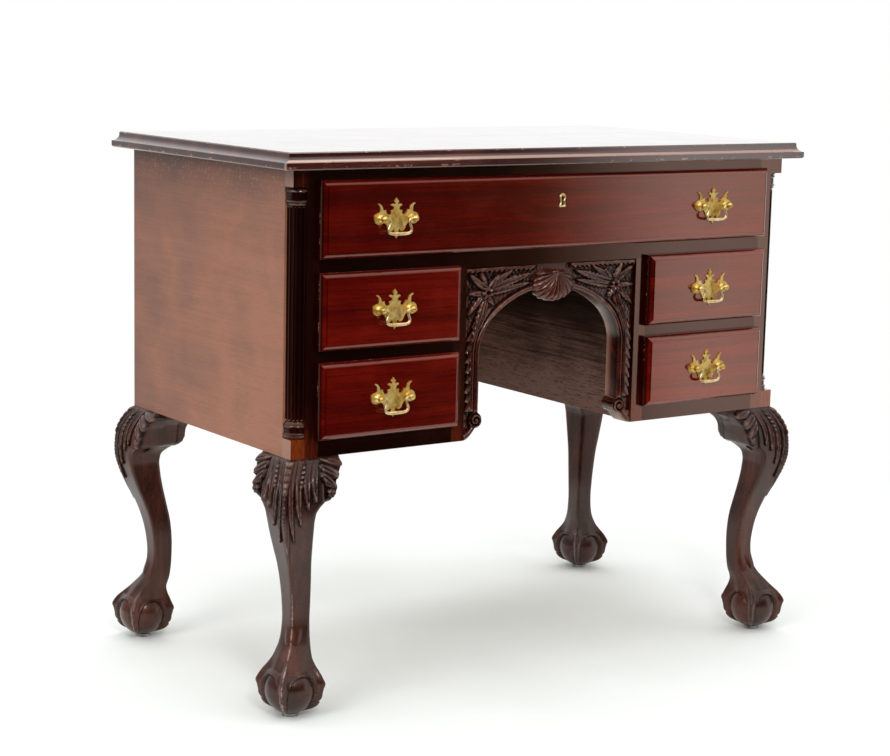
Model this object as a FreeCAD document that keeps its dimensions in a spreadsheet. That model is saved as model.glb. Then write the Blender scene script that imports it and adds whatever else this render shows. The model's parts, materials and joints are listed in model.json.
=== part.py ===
import FreeCAD, Part
import os
from math import atan2, cos, pi, sin, sqrt

import Sketcher

# Driving sizes in millimetres, by the piece that they belong to
SIZES = {
    # Whole desk
    "desk_height": 770, "case_width": 870, "case_depth": 463, "leg_height": 358.5,
    # Top board and its moulded edge
    "top_thick": 23.5, "top_side_over": 23.5, "top_front_over": 23, "top_back_over": 27,
    "top_edge_set": 8.5, "top_lip_under": 3.5, "top_lip_height": 6.5, "top_lip_step": 2,
    "top_cove_height": 8.5, "top_arris": 1.5,
    # Case
    "side_thick": 20, "back_thick": 8, "frame_depth": 22, "post_width": 21, "post_depth": 46,
    "inner_stile": 21, "kneehole_width": 305, "wall_thick": 16, "dust_thick": 10, "guide_height": 16,
    "top_rail_height": 19.5, "middle_rail_height": 28, "divider_height": 26, "bottom_rail_height": 28.5,
    # Quarter columns and the blocks above and below them
    "column_recess": 21.5, "column_radius": 18, "flute_radius": 2.1, "capital_radius": 21.2,
    "capital_height": 24, "base_height": 22, "upper_block": 23.5, "lower_block": 26.5, "seat_gap": 0.15,
    # Carved arch over the kneehole
    "arch_thick": 30, "arch_ground": 6, "arch_half": 126, "arch_rise": 91.5, "arch_crown_drop": 34,
    "arch_side_radius": 72, "arch_bead": 6, "scroll_radius": 11, "scroll_height": 27, "scroll_set": 4.5,
    "foot_flat": 4, "rosette_set": 37, "rosette_radius": 9, "rosette_height": 4, "leaf_height": 4.5,
    "leaf_width": 17,
    # Scallop shell
    "shell_half": 38, "shell_height": 46, "shell_top_gap": 9, "shell_proud": 13,
    # Legs
    "leg_blank": 66, "knee_out": 22, "knee_height": 300, "foot_inset": 9.3, "ball_radius": 36.5,
    "ball_height": 36, "toe_width": 17, "tenon_side": 16, "tenon_length": 16, "tenon_inset": 31,
    "corner_block": 42, "glide_radius": 11.5, "glide_height": 4,
    # Knee brackets
    "bracket_low": 56, "bracket_high": 70, "bracket_head": 17, "bracket_cove": 12,
    # Drawers
    "lip_overlap": 5, "lip_edge": 6, "lip_gap": 0.3, "front_proud": 15, "front_inside": 10,
    "thumb_width": 8.5, "thumb_step": 1.5, "drawer_gap": 1, "running_gap": 0.3, "drawer_top_gap": 2,
    "drawer_side": 11, "drawer_back": 11, "drawer_back_drop": 6, "drawer_back_room": 14,
    "drawer_bottom": 6, "drawer_bottom_up": 8, "groove_depth": 5, "tail_length": 9,
    # Pulls
    "plate_half": 36.5, "plate_reach": 27.5, "plate_thick": 1.8, "lobe_radius": 9.2, "post_spacing": 49.4,
    "shank_side": 4.4, "shank_gap": 0.2, "nut_radius": 5, "nut_height": 3.5, "flange_radius": 6.4,
    "flange_height": 1.4, "neck_radius": 2.8, "head_radius": 4.6, "pivot_out": 11,
    "pin_radius": 1.9, "pin_gap": 0.06, "pin_end": 2.5, "bail_half": 18.4, "bail_neck": 15.4,
    "bail_drop": 20, "bail_bend": 2.6, "bail_corner": 6,
    # Lock
    "lock_width": 44, "lock_height": 36, "lock_depth": 8, "bolt_width": 18, "bolt_thick": 4,
    "bolt_length": 22, "bolt_travel": 8, "bolt_wall": 2, "bolt_gap": 0.3, "mortise_gap": 1,
    "key_height": 18, "key_radius": 2.3, "key_slot": 2.4, "key_drop": 7, "plate_key_width": 12,
    "plate_key_height": 20, "plate_key_deep": 1.5, "plate_key_proud": 0.3,
    # How far every cutting shape runs past what it cuts
    "overrun": 2,
}

# Counts, and tables of shares of the sizes that they follow
DRAWER_ROWS = 3
FLUTES = 5
TAILS = 4
RIBS = 9
BALL_SIDES = 12
POST_SIDES = 8
LOBE_SIDES = 6
NUT_SIDES = 6
ROUND_SIDES = 16
tail_neck_share, tail_tip_share = 0.46, 0.7
key_low_share, key_high_share = 0.6, 0.4
# Capital and base: how far each ring stands out between shaft and rim, and its share of the height
ring_shares = ((1, 0), (1, 0.4), (0.3, 0.54), (0.8, 0.74), (0, 1))
# Shell: its fan in radians, a valley's depth, the hinge's place, then the reach and height of each level
shell_fan, valley_share, hinge_share = 3.5, 0.9, 0.12
level_shares = ((1, 0), (0.97, 0.42), (0.82, 0.76), (0.52, 0.96), (0.16, 1))
# Leg's outer and inner line, downwards and upwards: inset and height as shares of the blank and the
# knee height, then the radius of the arc that follows as a share of the blank
knee_arc_share = 2.136
leg_outer_shares = ((-0.138, 0.783, -3.6), (0.194, 0.457, -1.762), (-0.276, 0.193))
leg_inner_shares = ((0.571, 0.193), (0.65, 0.473, 5.3), (0.553, 0.71, -6.67), (0.445, 0.907, -0.517))
# Toe seen from its side (reach and height), from its front (half width and height) and from above
# (reach and half width), reaches and heights as shares of the ball's radius, widths of the toe's
toe_side_shares = ((0.5, 0), (0.5, 2.34), (0.66, 2.18), (0.9, 1.94), (1.18, 1.55), (1.33, 1.24),
                   (1.25, 0.85), (1.1, 0.54), (0.93, 0.28), (0.8, 0))
toe_front_shares = ((0.32, 2.4), (0.42, 1.95), (0.5, 1.5), (0.5, 1.15), (0.32, 0.55), (0.1, 0))
toe_plan_shares = ((0, 0.5), (1.1, 0.5), (1.35, 0.16))
# Right half of a pull's plate, from its tip to its drop, in shares of its half width and its reach
plate_top_shares = (
    (0, 1), (0.12, 0.80), (0.06, 0.68), (0.21, 0.67), (0.26, 0.61), (0.12, 0.46), (0.13, 0.40),
    (0.25, 0.36), (0.23, 0.22), (0.37, 0.17), (0.45, 0.25), (0.49, 0.42), (0.56, 0.37), (0.67, 0.66),
    (0.80, 0.73), (0.71, 0.58), (0.735, 0.34),
)
plate_low_shares = ((0.62, -0.31), (0.52, -0.27), (0.42, -0.38), (0.36, -0.54), (0.24, -0.64),
                    (0.14, -0.53), (0.09, -0.62), (0.11, -0.80), (0, -1))
# Leaves of the arch, each from the rosette: end across and up as shares of the arch's half and rise,
# then how much of a leaf's outline is left on its ridge
leaf_shares = ((0.38, 1.13), (1.13, 0.28))
ridge_share = 0.3

doc = FreeCAD.newDocument("kneehole_desk")
sheet = doc.addObject("Spreadsheet::Sheet", "Sizes")
nodes = []


class Size:
    """A length, together with the sheet expression that drives it."""

    def __init__(self, value, text):
        self.value = value
        self.text = text

    def __add__(self, other):
        other = size_of(other)
        return Size(self.value + other.value, f"({self.text} + {other.text})")

    def __sub__(self, other):
        other = size_of(other)
        return Size(self.value - other.value, f"({self.text} - {other.text})")

    def __mul__(self, other):
        other = size_of(other)
        return Size(self.value * other.value, f"({self.text} * {other.text})")

    def __truediv__(self, other):
        other = size_of(other)
        return Size(self.value / other.value, f"({self.text} / {other.text})")

    def __neg__(self):
        return Size(-self.value, f"(-{self.text})")

    __radd__ = __add__
    __rmul__ = __mul__


class Sizes:
    """Every driving size by its name in the sheet."""


def size_of(thing):
    """A plain number or a size, as a size."""
    return thing if isinstance(thing, Size) else Size(thing, repr(thing))


def fill_sheet():
    """Put the driving sizes in the sheet and give each one back by name."""
    sizes = Sizes()
    for row, (name, value) in enumerate(SIZES.items(), start=1):
        sheet.set(f"A{row}", name)
        sheet.set(f"B{row}", str(value))
        sheet.setAlias(f"B{row}", name)
        setattr(sizes, name, Size(value, f"Sizes.{name}"))
    doc.recompute()
    return sizes


def bind(thing, **sizes):
    """Bind properties to sheet expressions; a double underscore stands for a dot."""
    for path, size in sizes.items():
        thing.setExpression(path.replace("__", "."), size_of(size).text)


def move(thing, x=0, y=0, z=0):
    """Bind a piece's place."""
    bind(thing, Placement__Base__x=x, Placement__Base__y=y, Placement__Base__z=z)
    return thing


def node(thing):
    """Mark a document object as a finished piece."""
    nodes.append(thing)
    return thing


def board(label, across, deep, high):
    """A board between two places along each axis."""
    thing = doc.addObject("Part::Box", label)
    bind(thing, Length=across[1] - across[0], Width=deep[1] - deep[0], Height=high[1] - high[0])
    return move(thing, across[0], deep[0], high[0])


def rod(label, radius, length, x, y, z, along, sides=0):
    """A round or many-sided rod from a point along an axis."""
    thing = doc.addObject("Part::Prism" if sides else "Part::Cylinder", label)
    if sides:
        thing.Polygon = sides
        bind(thing, Circumradius=radius, Height=length)
    else:
        bind(thing, Radius=radius, Height=length)
    thing.Placement.Rotation = FreeCAD.Rotation(FreeCAD.Vector(0, 0, 1), FreeCAD.Vector(*along))
    return move(thing, x, y, z)


def ball(label, radius, sides):
    """A ball in flat facets: three many-sided rods that cross."""
    rods = []
    for name, along in (("x", (1, 0, 0)), ("y", (0, 1, 0)), ("z", (0, 0, 1))):
        start = [-radius * share for share in along]
        rods.append(rod(f"{label}_{name}", radius, radius * 2, *start, along, sides))
    return common(label, rods)


def faceted(label, rings):
    """A carved form in flat facets between rings of corners, closed by its first and last ring."""
    sides = [ring + ring[:1] for ring in (rings[0], rings[-1])]
    for low, high in zip(rings, rings[1:]):
        sides += [[low[i - 1], low[i], high[i], high[i - 1], low[i - 1]] for i in range(len(low))]
    solid = Part.Solid(Part.Shell([Part.Face(Part.makePolygon(corners)) for corners in sides]))
    thing = doc.addObject("Part::Feature", label)
    thing.Shape = solid if solid.Volume > 0 else solid.reversed()
    return thing


def mirror(label, source, normal=(1, 0, 0)):
    """The other hand of a piece, across the desk's middle or another plane through the origin."""
    thing = doc.addObject("Part::Mirroring", label)
    thing.Source = source
    thing.Normal = FreeCAD.Vector(*normal)
    return thing


def at_corners(label, source):
    """A piece of the front left corner, at all four corners of the case."""
    side = mirror(label + "_right", source)
    behind = mirror(label + "_back_left", source, (0, 1, 0))
    return [source, side, mirror(label + "_back_right", side, (0, 1, 0)), behind]


def group(label, pieces):
    """Separate solids that share one name."""
    thing = doc.addObject("Part::Compound", label)
    thing.Links = pieces
    return thing


def fuse(label, pieces):
    thing = doc.addObject("Part::MultiFuse", label)
    thing.Shapes = pieces
    return thing


def common(label, pieces):
    thing = doc.addObject("Part::MultiCommon", label)
    thing.Shapes = pieces
    return thing


def cut(label, base, tools):
    """A piece less one or more cutting shapes, taken in turn."""
    for index, tool in enumerate(tools):
        last = index == len(tools) - 1
        thing = doc.addObject("Part::Cut", label if last else f"{label}_stage_{index}")
        thing.Base = base
        thing.Tool = tool
        base = thing
    return base


def arc_between(start, end, radius):
    """The short arc between two points, turning left for a positive radius and right for a negative."""
    chord = end - start
    rise = sqrt(radius * radius - chord.Length ** 2 / 4)
    side = FreeCAD.Vector(-chord.y, chord.x, 0).normalize()
    centre = (start + end) / 2 + side * (rise if radius > 0 else -rise)
    first, last = (start, end) if radius > 0 else (end, start)
    angles = [atan2(point.y - centre.y, point.x - centre.x) for point in (first, last)]
    return Part.ArcOfCircle(Part.Circle(centre, FreeCAD.Vector(0, 0, 1), abs(radius)), *angles)


def outline(sketch, corners, closed=True):
    """Lines and arcs through corners (x, y) or (x, y, radius of the arc that leaves the corner)."""
    first = sketch.GeometryCount
    points = [FreeCAD.Vector(size_of(c[0]).value, size_of(c[1]).value, 0) for c in corners]
    edges = len(corners) if closed else len(corners) - 1
    ends = []
    rules = []
    drives = []
    for index in range(edges):
        corner = corners[index]
        start, end = points[index], points[(index + 1) % len(points)]
        radius = size_of(corner[2]).value if len(corner) > 2 else 0
        sketch.addGeometry(arc_between(start, end, radius) if radius else Part.LineSegment(start, end))
        ends.append((2, 1) if radius < 0 else (1, 2))
        if radius:
            rules.append(Sketcher.Constraint("Radius", first + index, abs(radius)))
            drives.append(corner[2] if radius > 0 else -corner[2])
    for index in range(edges if closed else edges - 1):
        after = (index + 1) % edges
        rules.append(Sketcher.Constraint("Coincident", first + index, ends[index][1],
                                         first + after, ends[after][0]))
        drives.append(None)
    for index, corner in enumerate(corners):
        edge, end = (index, ends[index][0]) if index < edges else (index - 1, ends[-1][1])
        for kind, size in (("DistanceX", corner[0]), ("DistanceY", corner[1])):
            rules.append(Sketcher.Constraint(kind, -1, 1, first + edge, end, float(size_of(size).value)))
            drives.append(size)
    start = sketch.ConstraintCount
    sketch.addConstraint(rules)
    for index, size in enumerate(drives):
        if size is not None:
            sketch.setExpression(f"Constraints[{start + index}]", size_of(size).text)


def ring(sketch, x, y, radius):
    """A full circle in a sketch."""
    edge = sketch.GeometryCount
    centre = FreeCAD.Vector(size_of(x).value, size_of(y).value, 0)
    sketch.addGeometry(Part.Circle(centre, FreeCAD.Vector(0, 0, 1), size_of(radius).value))
    start = sketch.ConstraintCount
    places = ((x, "DistanceX"), (y, "DistanceY"))
    rules = [Sketcher.Constraint(kind, -1, 1, edge, 3, float(size_of(size).value)) for size, kind in places]
    sketch.addConstraint(rules + [Sketcher.Constraint("Radius", edge, size_of(radius).value)])
    for index, size in enumerate((x, y, radius)):
        sketch.setExpression(f"Constraints[{start + index}]", size_of(size).text)


def new_body(label):
    return doc.addObject("PartDesign::Body", label)


def sketch_on(body, role, name):
    """A sketch on one of the body's own planes."""
    sketch = body.newObject("Sketcher::SketchObject", name)
    plane = next(face for face in body.Origin.OriginFeatures if face.Role == role)
    sketch.AttachmentSupport = [(plane, "")]
    sketch.MapMode = "FlatFace"
    return sketch


def pad(body, sketch, length, away=False):
    """Thicken a sketch, along its normal or away from it."""
    feature = body.newObject("PartDesign::Pad", sketch.Name + "_pad")
    feature.Profile = sketch
    feature.Reversed = away
    bind(feature, Length=length)
    return feature


def plate(label, role, corners, length, away=False):
    """A flat piece: an outline, thickened."""
    body = new_body(label)
    sketch = sketch_on(body, role, label + "_outline")
    outline(sketch, corners)
    pad(body, sketch, length, away)
    return body


def turned(label, corners, angle=360):
    """A turned piece about Z, from its profile as radius and height."""
    body = new_body(label)
    sketch = sketch_on(body, "XZ_Plane", label + "_profile")
    outline(sketch, corners)
    feature = body.newObject("PartDesign::Revolution", label + "_turn")
    feature.Profile = sketch
    feature.ReferenceAxis = (sketch, ["V_Axis"])
    feature.Angle = angle
    return body


def moulded_slab(label, across, deep, edge):
    """A slab with the same mitred moulding on all four edges: two long profiles that cross.

    The edge runs upwards as (inset from the slab's side, height, radius of the arc that follows)."""
    profiles = []
    for role, low, high, start, stop in (("XZ_Plane", *across, *deep), ("YZ_Plane", *deep, *across)):
        right = [(high - inset, height, *arc) for inset, height, *arc in edge]
        left = [(low + inset, height) for inset, height, *arc in edge]
        arcs = [arc for inset, height, *arc in edge]
        falling = [(*left[i], *arcs[i - 1]) if i else left[i] for i in range(len(left))][::-1]
        name = f"{label}_{role[:2].lower()}"
        bar = plate(name, role, right + falling, stop - start + s.overrun * 2, away=role == "XZ_Plane")
        begin = start - s.overrun
        profiles.append(move(bar, y=begin) if role == "XZ_Plane" else move(bar, x=begin))
    return common(label, profiles)


s = fill_sheet()
half_width = s.case_width / 2
front, back = -s.case_depth / 2, s.case_depth / 2
case_top = s.desk_height - s.top_thick
case_bottom = s.leg_height
rail_heights = s.top_rail_height + s.middle_rail_height + s.divider_height + s.bottom_rail_height
opening_height = (case_top - case_bottom - rail_heights) / DRAWER_ROWS
lower_floor = case_bottom + s.bottom_rail_height
upper_floor = lower_floor + opening_height + s.divider_height
long_floor = upper_floor + opening_height + s.middle_rail_height
frame_back = front + s.frame_depth
case_inside = half_width - s.side_thick
outer_edge = half_width - s.column_recess - s.post_width
kneehole_half = s.kneehole_width / 2
inner_edge = kneehole_half + s.inner_stile
back_inside = back - s.back_thick
pull_x = (inner_edge + outer_edge) / 2
face = front - s.front_proud
zero = size_of(0)


def make_top():
    """The top board, its edge a lip, a cove and a narrow fillet."""
    lip_top = s.top_lip_under + s.top_lip_height
    cove_top = lip_top + s.top_cove_height
    edge = [
        (s.top_lip_under, zero, s.top_lip_under),
        (zero, s.top_lip_under),
        (zero, lip_top),
        (s.top_lip_step, lip_top, -(s.top_cove_height + s.top_lip_step)),
        (s.top_edge_set, cove_top),
        (s.top_edge_set, s.top_thick - s.top_arris),
        (s.top_edge_set + s.top_arris, s.top_thick),
    ]
    across = (-half_width - s.top_side_over, half_width + s.top_side_over)
    deep = (front - s.top_front_over, back + s.top_back_over)
    node(move(moulded_slab("top_board", across, deep, edge), z=case_top))


def make_case():
    """Panels, posts, rails and the boards that the drawers run on."""
    tall = (case_bottom, case_top)
    left = node(board("side_panel_left", (-half_width, -case_inside), (front + s.column_recess, back), tall))
    node(mirror("side_panel_right", left))
    node(board("back_panel", (-case_inside, case_inside), (back_inside, back), tall))

    post = plate("post_blank", "XY_Plane", [
        (-outer_edge, front), (-outer_edge, front + s.post_depth), (-case_inside, front + s.post_depth),
        (-case_inside, front + s.column_recess), (-half_width + s.column_recess, front + s.column_recess),
        (-half_width + s.column_recess, front),
    ][::-1], case_top - case_bottom)
    move(post, z=case_bottom)
    half = s.tenon_side / 2 + s.seat_gap
    depth = (case_bottom - s.overrun, case_bottom + s.tenon_length + s.seat_gap)
    socket = board("post_socket", (s.tenon_inset - half_width - half, s.tenon_inset - half_width + half),
                   (front + s.tenon_inset - half, front + s.tenon_inset + half), depth)
    left_post = node(cut("front_post_left", post, [socket]))
    node(mirror("front_post_right", left_post))

    frame = (front, frame_back)
    stile = board("inner_stile", (kneehole_half, inner_edge), frame,
                  (case_bottom, upper_floor + opening_height))
    node(group("inner_stiles", [stile, mirror("inner_stile_other", stile)]))
    rail = board("top_rail_blank", (-outer_edge, outer_edge), frame, (long_floor + opening_height, case_top))
    mortise_half = s.bolt_width / 2 + s.mortise_gap
    mortise = board("bolt_mortise", (-mortise_half, mortise_half),
                    (bolt_front - s.mortise_gap, bolt_front + s.bolt_thick + s.mortise_gap),
                    (long_floor + opening_height - s.overrun, bolt_top + s.bolt_travel + s.mortise_gap))
    node(cut("top_rail", rail, [mortise]))
    node(board("middle_rail", (-outer_edge, outer_edge), frame, (upper_floor + opening_height, long_floor)))
    for label, low, high in (("divider_rail", lower_floor + opening_height, upper_floor),
                             ("bottom_rail", case_bottom, lower_floor)):
        rail = board(label, (inner_edge, outer_edge), frame, (low, high))
        node(group(label + "s", [rail, mirror(label + "_other", rail)]))

    deep = (frame_back, back_inside)
    wall = board("kneehole_wall", (inner_edge - s.wall_thick, inner_edge), deep,
                 (case_bottom, long_floor - s.dust_thick))
    node(group("kneehole_walls", [wall, mirror("kneehole_wall_other", wall)]))
    boards = [board("long_dust_board", (-outer_edge, outer_edge), deep,
                    (long_floor - s.dust_thick, long_floor))]
    guides = []
    for name, floor in (("upper", upper_floor), ("lower", lower_floor)):
        dust = board(name + "_dust_board", (inner_edge, outer_edge), deep, (floor - s.dust_thick, floor))
        boards += [dust, mirror(name + "_dust_board_other", dust)]
    for name, floor in (("long", long_floor), ("upper", upper_floor), ("lower", lower_floor)):
        guide = board(name + "_guide", (outer_edge, case_inside), (front + s.post_depth, back_inside),
                      (floor - s.dust_thick, floor + s.guide_height))
        guides += [guide, mirror(name + "_guide_other", guide)]
    node(group("dust_boards", boards))
    node(group("drawer_guides", guides))

    block = board("corner_block_blank", (case_inside - s.corner_block, case_inside),
                  (back_inside - s.corner_block, back_inside), (case_bottom, lower_floor - s.dust_thick))
    tenon_x, tenon_y = half_width - s.tenon_inset, back - s.tenon_inset
    socket = board("corner_block_socket", (tenon_x - half, tenon_x + half), (tenon_y - half, tenon_y + half),
                   depth)
    block = cut("corner_block", block, [socket])
    node(group("corner_blocks", [block, mirror("corner_block_other", block)]))


def make_columns():
    """Fluted quarter columns with a capital and a base, between plain square blocks."""
    foot = case_bottom + s.lower_block
    head = case_top - s.upper_block
    low, high = foot + s.base_height, head - s.capital_height
    body = new_body("quarter_column_blank")
    shaft = sketch_on(body, "XY_Plane", "column_shaft")
    corners = [(zero, zero)]
    step = pi / 2 / FLUTES
    half = s.flute_radius / s.column_radius
    for flute in range(FLUTES):
        for turn, hollow in ((-half.value, True), (half.value, False)):
            angle = pi + step * (flute + 1 / 2) + turn
            point = (s.column_radius * cos(angle), s.column_radius * sin(angle))
            if flute == 0 and hollow:
                corners.append((-s.column_radius, zero, s.column_radius))
            corners.append((*point, -s.flute_radius) if hollow else (*point, s.column_radius))
    corners.append((zero, -s.column_radius))
    outline(shaft, corners)
    pad(body, shaft, high - low)
    move(body, z=low)
    wide, slim = s.capital_radius, s.column_radius
    quarter = []
    for label, start, height, up in (("column_base", foot, s.base_height, 1),
                                     ("column_capital", head, s.capital_height, -1)):
        profile = [(slim + (wide - slim) * out, height * (up * share)) for out, share in ring_shares]
        profile = [(zero, zero), *profile, (zero, height * up)]
        piece = turned(label, profile if up > 0 else profile[::-1])
        quarter.append(move(piece, z=start))
    solid = fuse("column_whole", [body, *quarter])
    corner = board("column_quarter", (-s.column_recess, zero), (-s.column_recess, zero),
                   (case_bottom, case_top))
    blank = common("column_cut", [solid, corner])
    left = node(move(group("quarter_column_left", [blank]),
                     s.column_recess - half_width, front + s.column_recess))
    node(mirror("quarter_column_right", left))
    blocks = []
    for name, start, end in (("lower", case_bottom, foot), ("upper", head, case_top)):
        block = board(name + "_column_block", (-half_width, s.column_recess - half_width),
                      (front, front + s.column_recess), (start, end))
        blocks += [block, mirror(name + "_column_block_other", block)]
    node(group("column_blocks", blocks))


bolt_front = front + s.front_inside - s.bolt_wall - s.bolt_thick
bolt_top = long_floor + opening_height - s.drawer_top_gap - s.bolt_gap
arch_top = upper_floor + opening_height
crown = arch_top - s.arch_crown_drop
spring = crown - s.arch_rise
ground = front + s.arch_ground
scroll_x, scroll_z = s.arch_half + s.scroll_set, case_bottom + s.scroll_height


def arch_points(grow):
    """The arch's edge from its left spring to its right one, three arcs that meet smoothly."""
    centre = s.arch_half - s.arch_side_radius
    spare = s.arch_rise - s.arch_side_radius
    radius = (centre * centre + spare * (s.arch_rise + s.arch_side_radius)) / (2 * spare)
    reach = (radius + grow) / (radius - s.arch_side_radius)
    join_x, join_z = centre * reach, crown - radius + (radius - s.arch_rise) * reach
    side, top = s.arch_side_radius + grow, radius + grow
    return [(-s.arch_half - grow, spring, -side), (-join_x, join_z, -top), (join_x, join_z, -side),
            (s.arch_half + grow, spring)]


def make_arch():
    """The carved panel over the kneehole: ground, bead, scrolls, rosettes and long leaves."""
    reach = s.scroll_radius
    jamb = scroll_z + reach * sqrt(1 - (s.scroll_set.value / reach.value) ** 2)
    foot = kneehole_half - s.foot_flat
    body = new_body("arch_panel_body")
    panel = sketch_on(body, "XZ_Plane", "arch_panel")
    outline(panel, [
        (kneehole_half, case_bottom), (kneehole_half, arch_top), (-kneehole_half, arch_top),
        (-kneehole_half, case_bottom), (-foot, case_bottom),
        (-scroll_x, scroll_z - reach, reach), (reach - scroll_x, scroll_z, reach), (-s.arch_half, jamb),
        *arch_points(zero), (s.arch_half, jamb, reach), (scroll_x - reach, scroll_z, reach),
        (scroll_x, scroll_z - reach), (foot, case_bottom),
    ])
    pad(body, panel, s.arch_thick - s.arch_ground, away=True)
    bead = sketch_on(body, "XZ_Plane", "arch_bead")
    inner, outer = arch_points(zero), arch_points(s.arch_bead)
    back_arcs = [corner[2] for corner in outer[:-1]][::-1]
    returning = [(x, z, -arc) for (x, z, *rest), arc in zip(outer[:0:-1], back_arcs)]
    outline(bead, [(-s.arch_half, jamb), *inner, (s.arch_half, jamb), (s.arch_half + s.arch_bead, jamb),
                   *returning, outer[0][:2], (-s.arch_half - s.arch_bead, jamb)])
    pad(body, bead, s.arch_ground)
    for side, name in ((-1, "left"), (1, "right")):
        scroll = sketch_on(body, "XZ_Plane", f"scroll_{name}")
        ring(scroll, side * scroll_x, scroll_z, reach)
        pad(body, scroll, s.arch_ground)
    move(body, y=ground)
    carved = [body]
    for side, name in ((-1, "left"), (1, "right")):
        rose_x, rose_z = side * (kneehole_half - s.rosette_set), arch_top - s.rosette_set
        carved.append(rod(f"rosette_{name}", s.rosette_radius, s.arch_ground + s.rosette_height + s.overrun,
                          rose_x, ground + s.overrun, rose_z, (0, -1, 0), ROUND_SIDES))
        for index, (across, up) in enumerate(leaf_shares):
            end_x, end_z = side * across * s.arch_half, spring + up * s.arch_rise
            carved.append(make_leaf(f"arch_leaf_{name}_{index}", (rose_x, rose_z), (end_x, end_z)))
    return node(fuse("kneehole_arch", carved))


def make_leaf(label, start, end):
    """A long leaf on the arch's ground, from one point to another, with sloping sides and a ridge."""
    start, end = [FreeCAD.Vector(x.value, 0, z.value) for x, z in (start, end)]
    middle = (start + end) / 2
    across = FreeCAD.Vector(0, 1, 0).cross(end - start).normalize() * (s.leaf_width.value / 2)
    corners = [start, middle + across, end, middle - across]
    rings = []
    for depth, share in ((s.overrun, 1), (zero, 1), (-s.leaf_height, ridge_share)):
        level = FreeCAD.Vector(0, (ground + depth).value, 0)
        rings.append([middle + (corner - middle) * share + level for corner in corners])
    return faceted(label, rings)


def make_shell(arch):
    """The scallop: ribs that fan from the hinge, its outline smaller at each level above the ground."""
    hinge = FreeCAD.Vector(0, ground.value, (arch_top - s.shell_top_gap - s.shell_height * hinge_share).value)
    wide, reach = s.shell_half.value, (s.shell_height * (1 - hinge_share)).value
    high = (s.shell_proud + s.arch_ground).value
    rings = []
    for grow, rise in level_shares:
        corners = [FreeCAD.Vector(0, 0, (s.shell_height * hinge_share).value)]
        for point in range(2 * RIBS + 1):
            turn = shell_fan * (point / (2 * RIBS) - 1 / 2)
            share = 1 if point % 2 else valley_share
            corners.append(FreeCAD.Vector(wide * sin(turn), 0, -reach * cos(turn)) * share)
        level = hinge - FreeCAD.Vector(0, high * rise, 0)
        rings.append([level + corner * grow for corner in corners])
    node(cut("kneehole_shell", faceted("shell_form", rings), [arch]))


def make_foot():
    """A ball in flat facets, held by four toes that are each sawn to three profiles."""
    radius, width = s.ball_radius, s.toe_width
    side = plate("toe_side", "XZ_Plane", [(reach * radius, up * radius) for reach, up in toe_side_shares],
                 width + s.overrun * 2, away=True)
    move(side, y=-width / 2 - s.overrun)
    right = [(wide * width, up * radius) for wide, up in toe_front_shares]
    front_on = plate("toe_front", "YZ_Plane", right + [(-wide, up) for wide, up in right[::-1]], radius * 2)
    right = [(reach * radius, wide * width) for reach, wide in toe_plan_shares]
    above = plate("toe_plan", "XY_Plane", right + [(reach, -wide) for reach, wide in right[::-1]], radius * 3)
    toe = common("toe", [side, front_on, move(above, z=-s.overrun)])
    toe.Placement.Rotation = FreeCAD.Rotation(FreeCAD.Vector(0, 0, 1), 45)
    core = move(ball("foot_ball", radius, BALL_SIDES), z=s.ball_height)
    return move(fuse("foot", [core, *at_corners("toe", toe)]), s.foot_inset, s.foot_inset)


def make_legs():
    """Cabriole legs, each sawn to one profile from two sides, with a foot, a square tenon and a glide."""
    blank, knee = s.leg_blank, s.knee_height
    inner = blank - s.knee_out
    rise = case_bottom - knee
    bulge = (s.knee_out * s.knee_out + rise * rise) / (2 * s.knee_out)
    line = [(inset * blank, height * knee, *[share * blank for share in arc])
            for inset, height, *arc in leg_outer_shares + leg_inner_shares]
    profile = [(inner, case_bottom), (zero, case_bottom, bulge), (-s.knee_out, knee, blank * knee_arc_share),
               *line, (inner, knee)]
    across = move(plate("leg_across", "XZ_Plane", profile, blank * 2, away=True), y=-blank)
    along = move(plate("leg_along", "YZ_Plane", profile, blank * 2), x=-blank)
    sawn = common("leg_sawn", [across, along])
    low, high = s.tenon_inset - s.tenon_side / 2, s.tenon_inset + s.tenon_side / 2
    tenon = board("leg_tenon", (low, high), (low, high), (case_bottom, case_bottom + s.tenon_length))
    under = board("leg_under", (-blank, blank), (-blank, blank), (-s.glide_height, s.glide_height))
    left = node(cut("leg_front_left", fuse("leg_whole", [sawn, make_foot(), tenon]), [under]))
    move(left, -half_width, front)
    right = node(mirror("leg_front_right", left))
    node(mirror("leg_back_left", left, (0, 1, 0)))
    node(mirror("leg_back_right", right, (0, 1, 0)))
    glide = rod("foot_glide", s.glide_radius, s.glide_height, s.foot_inset - half_width,
                front + s.foot_inset, zero, (0, 0, 1), ROUND_SIDES)
    node(group("foot_glides", at_corners("foot_glide", glide)))


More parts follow.
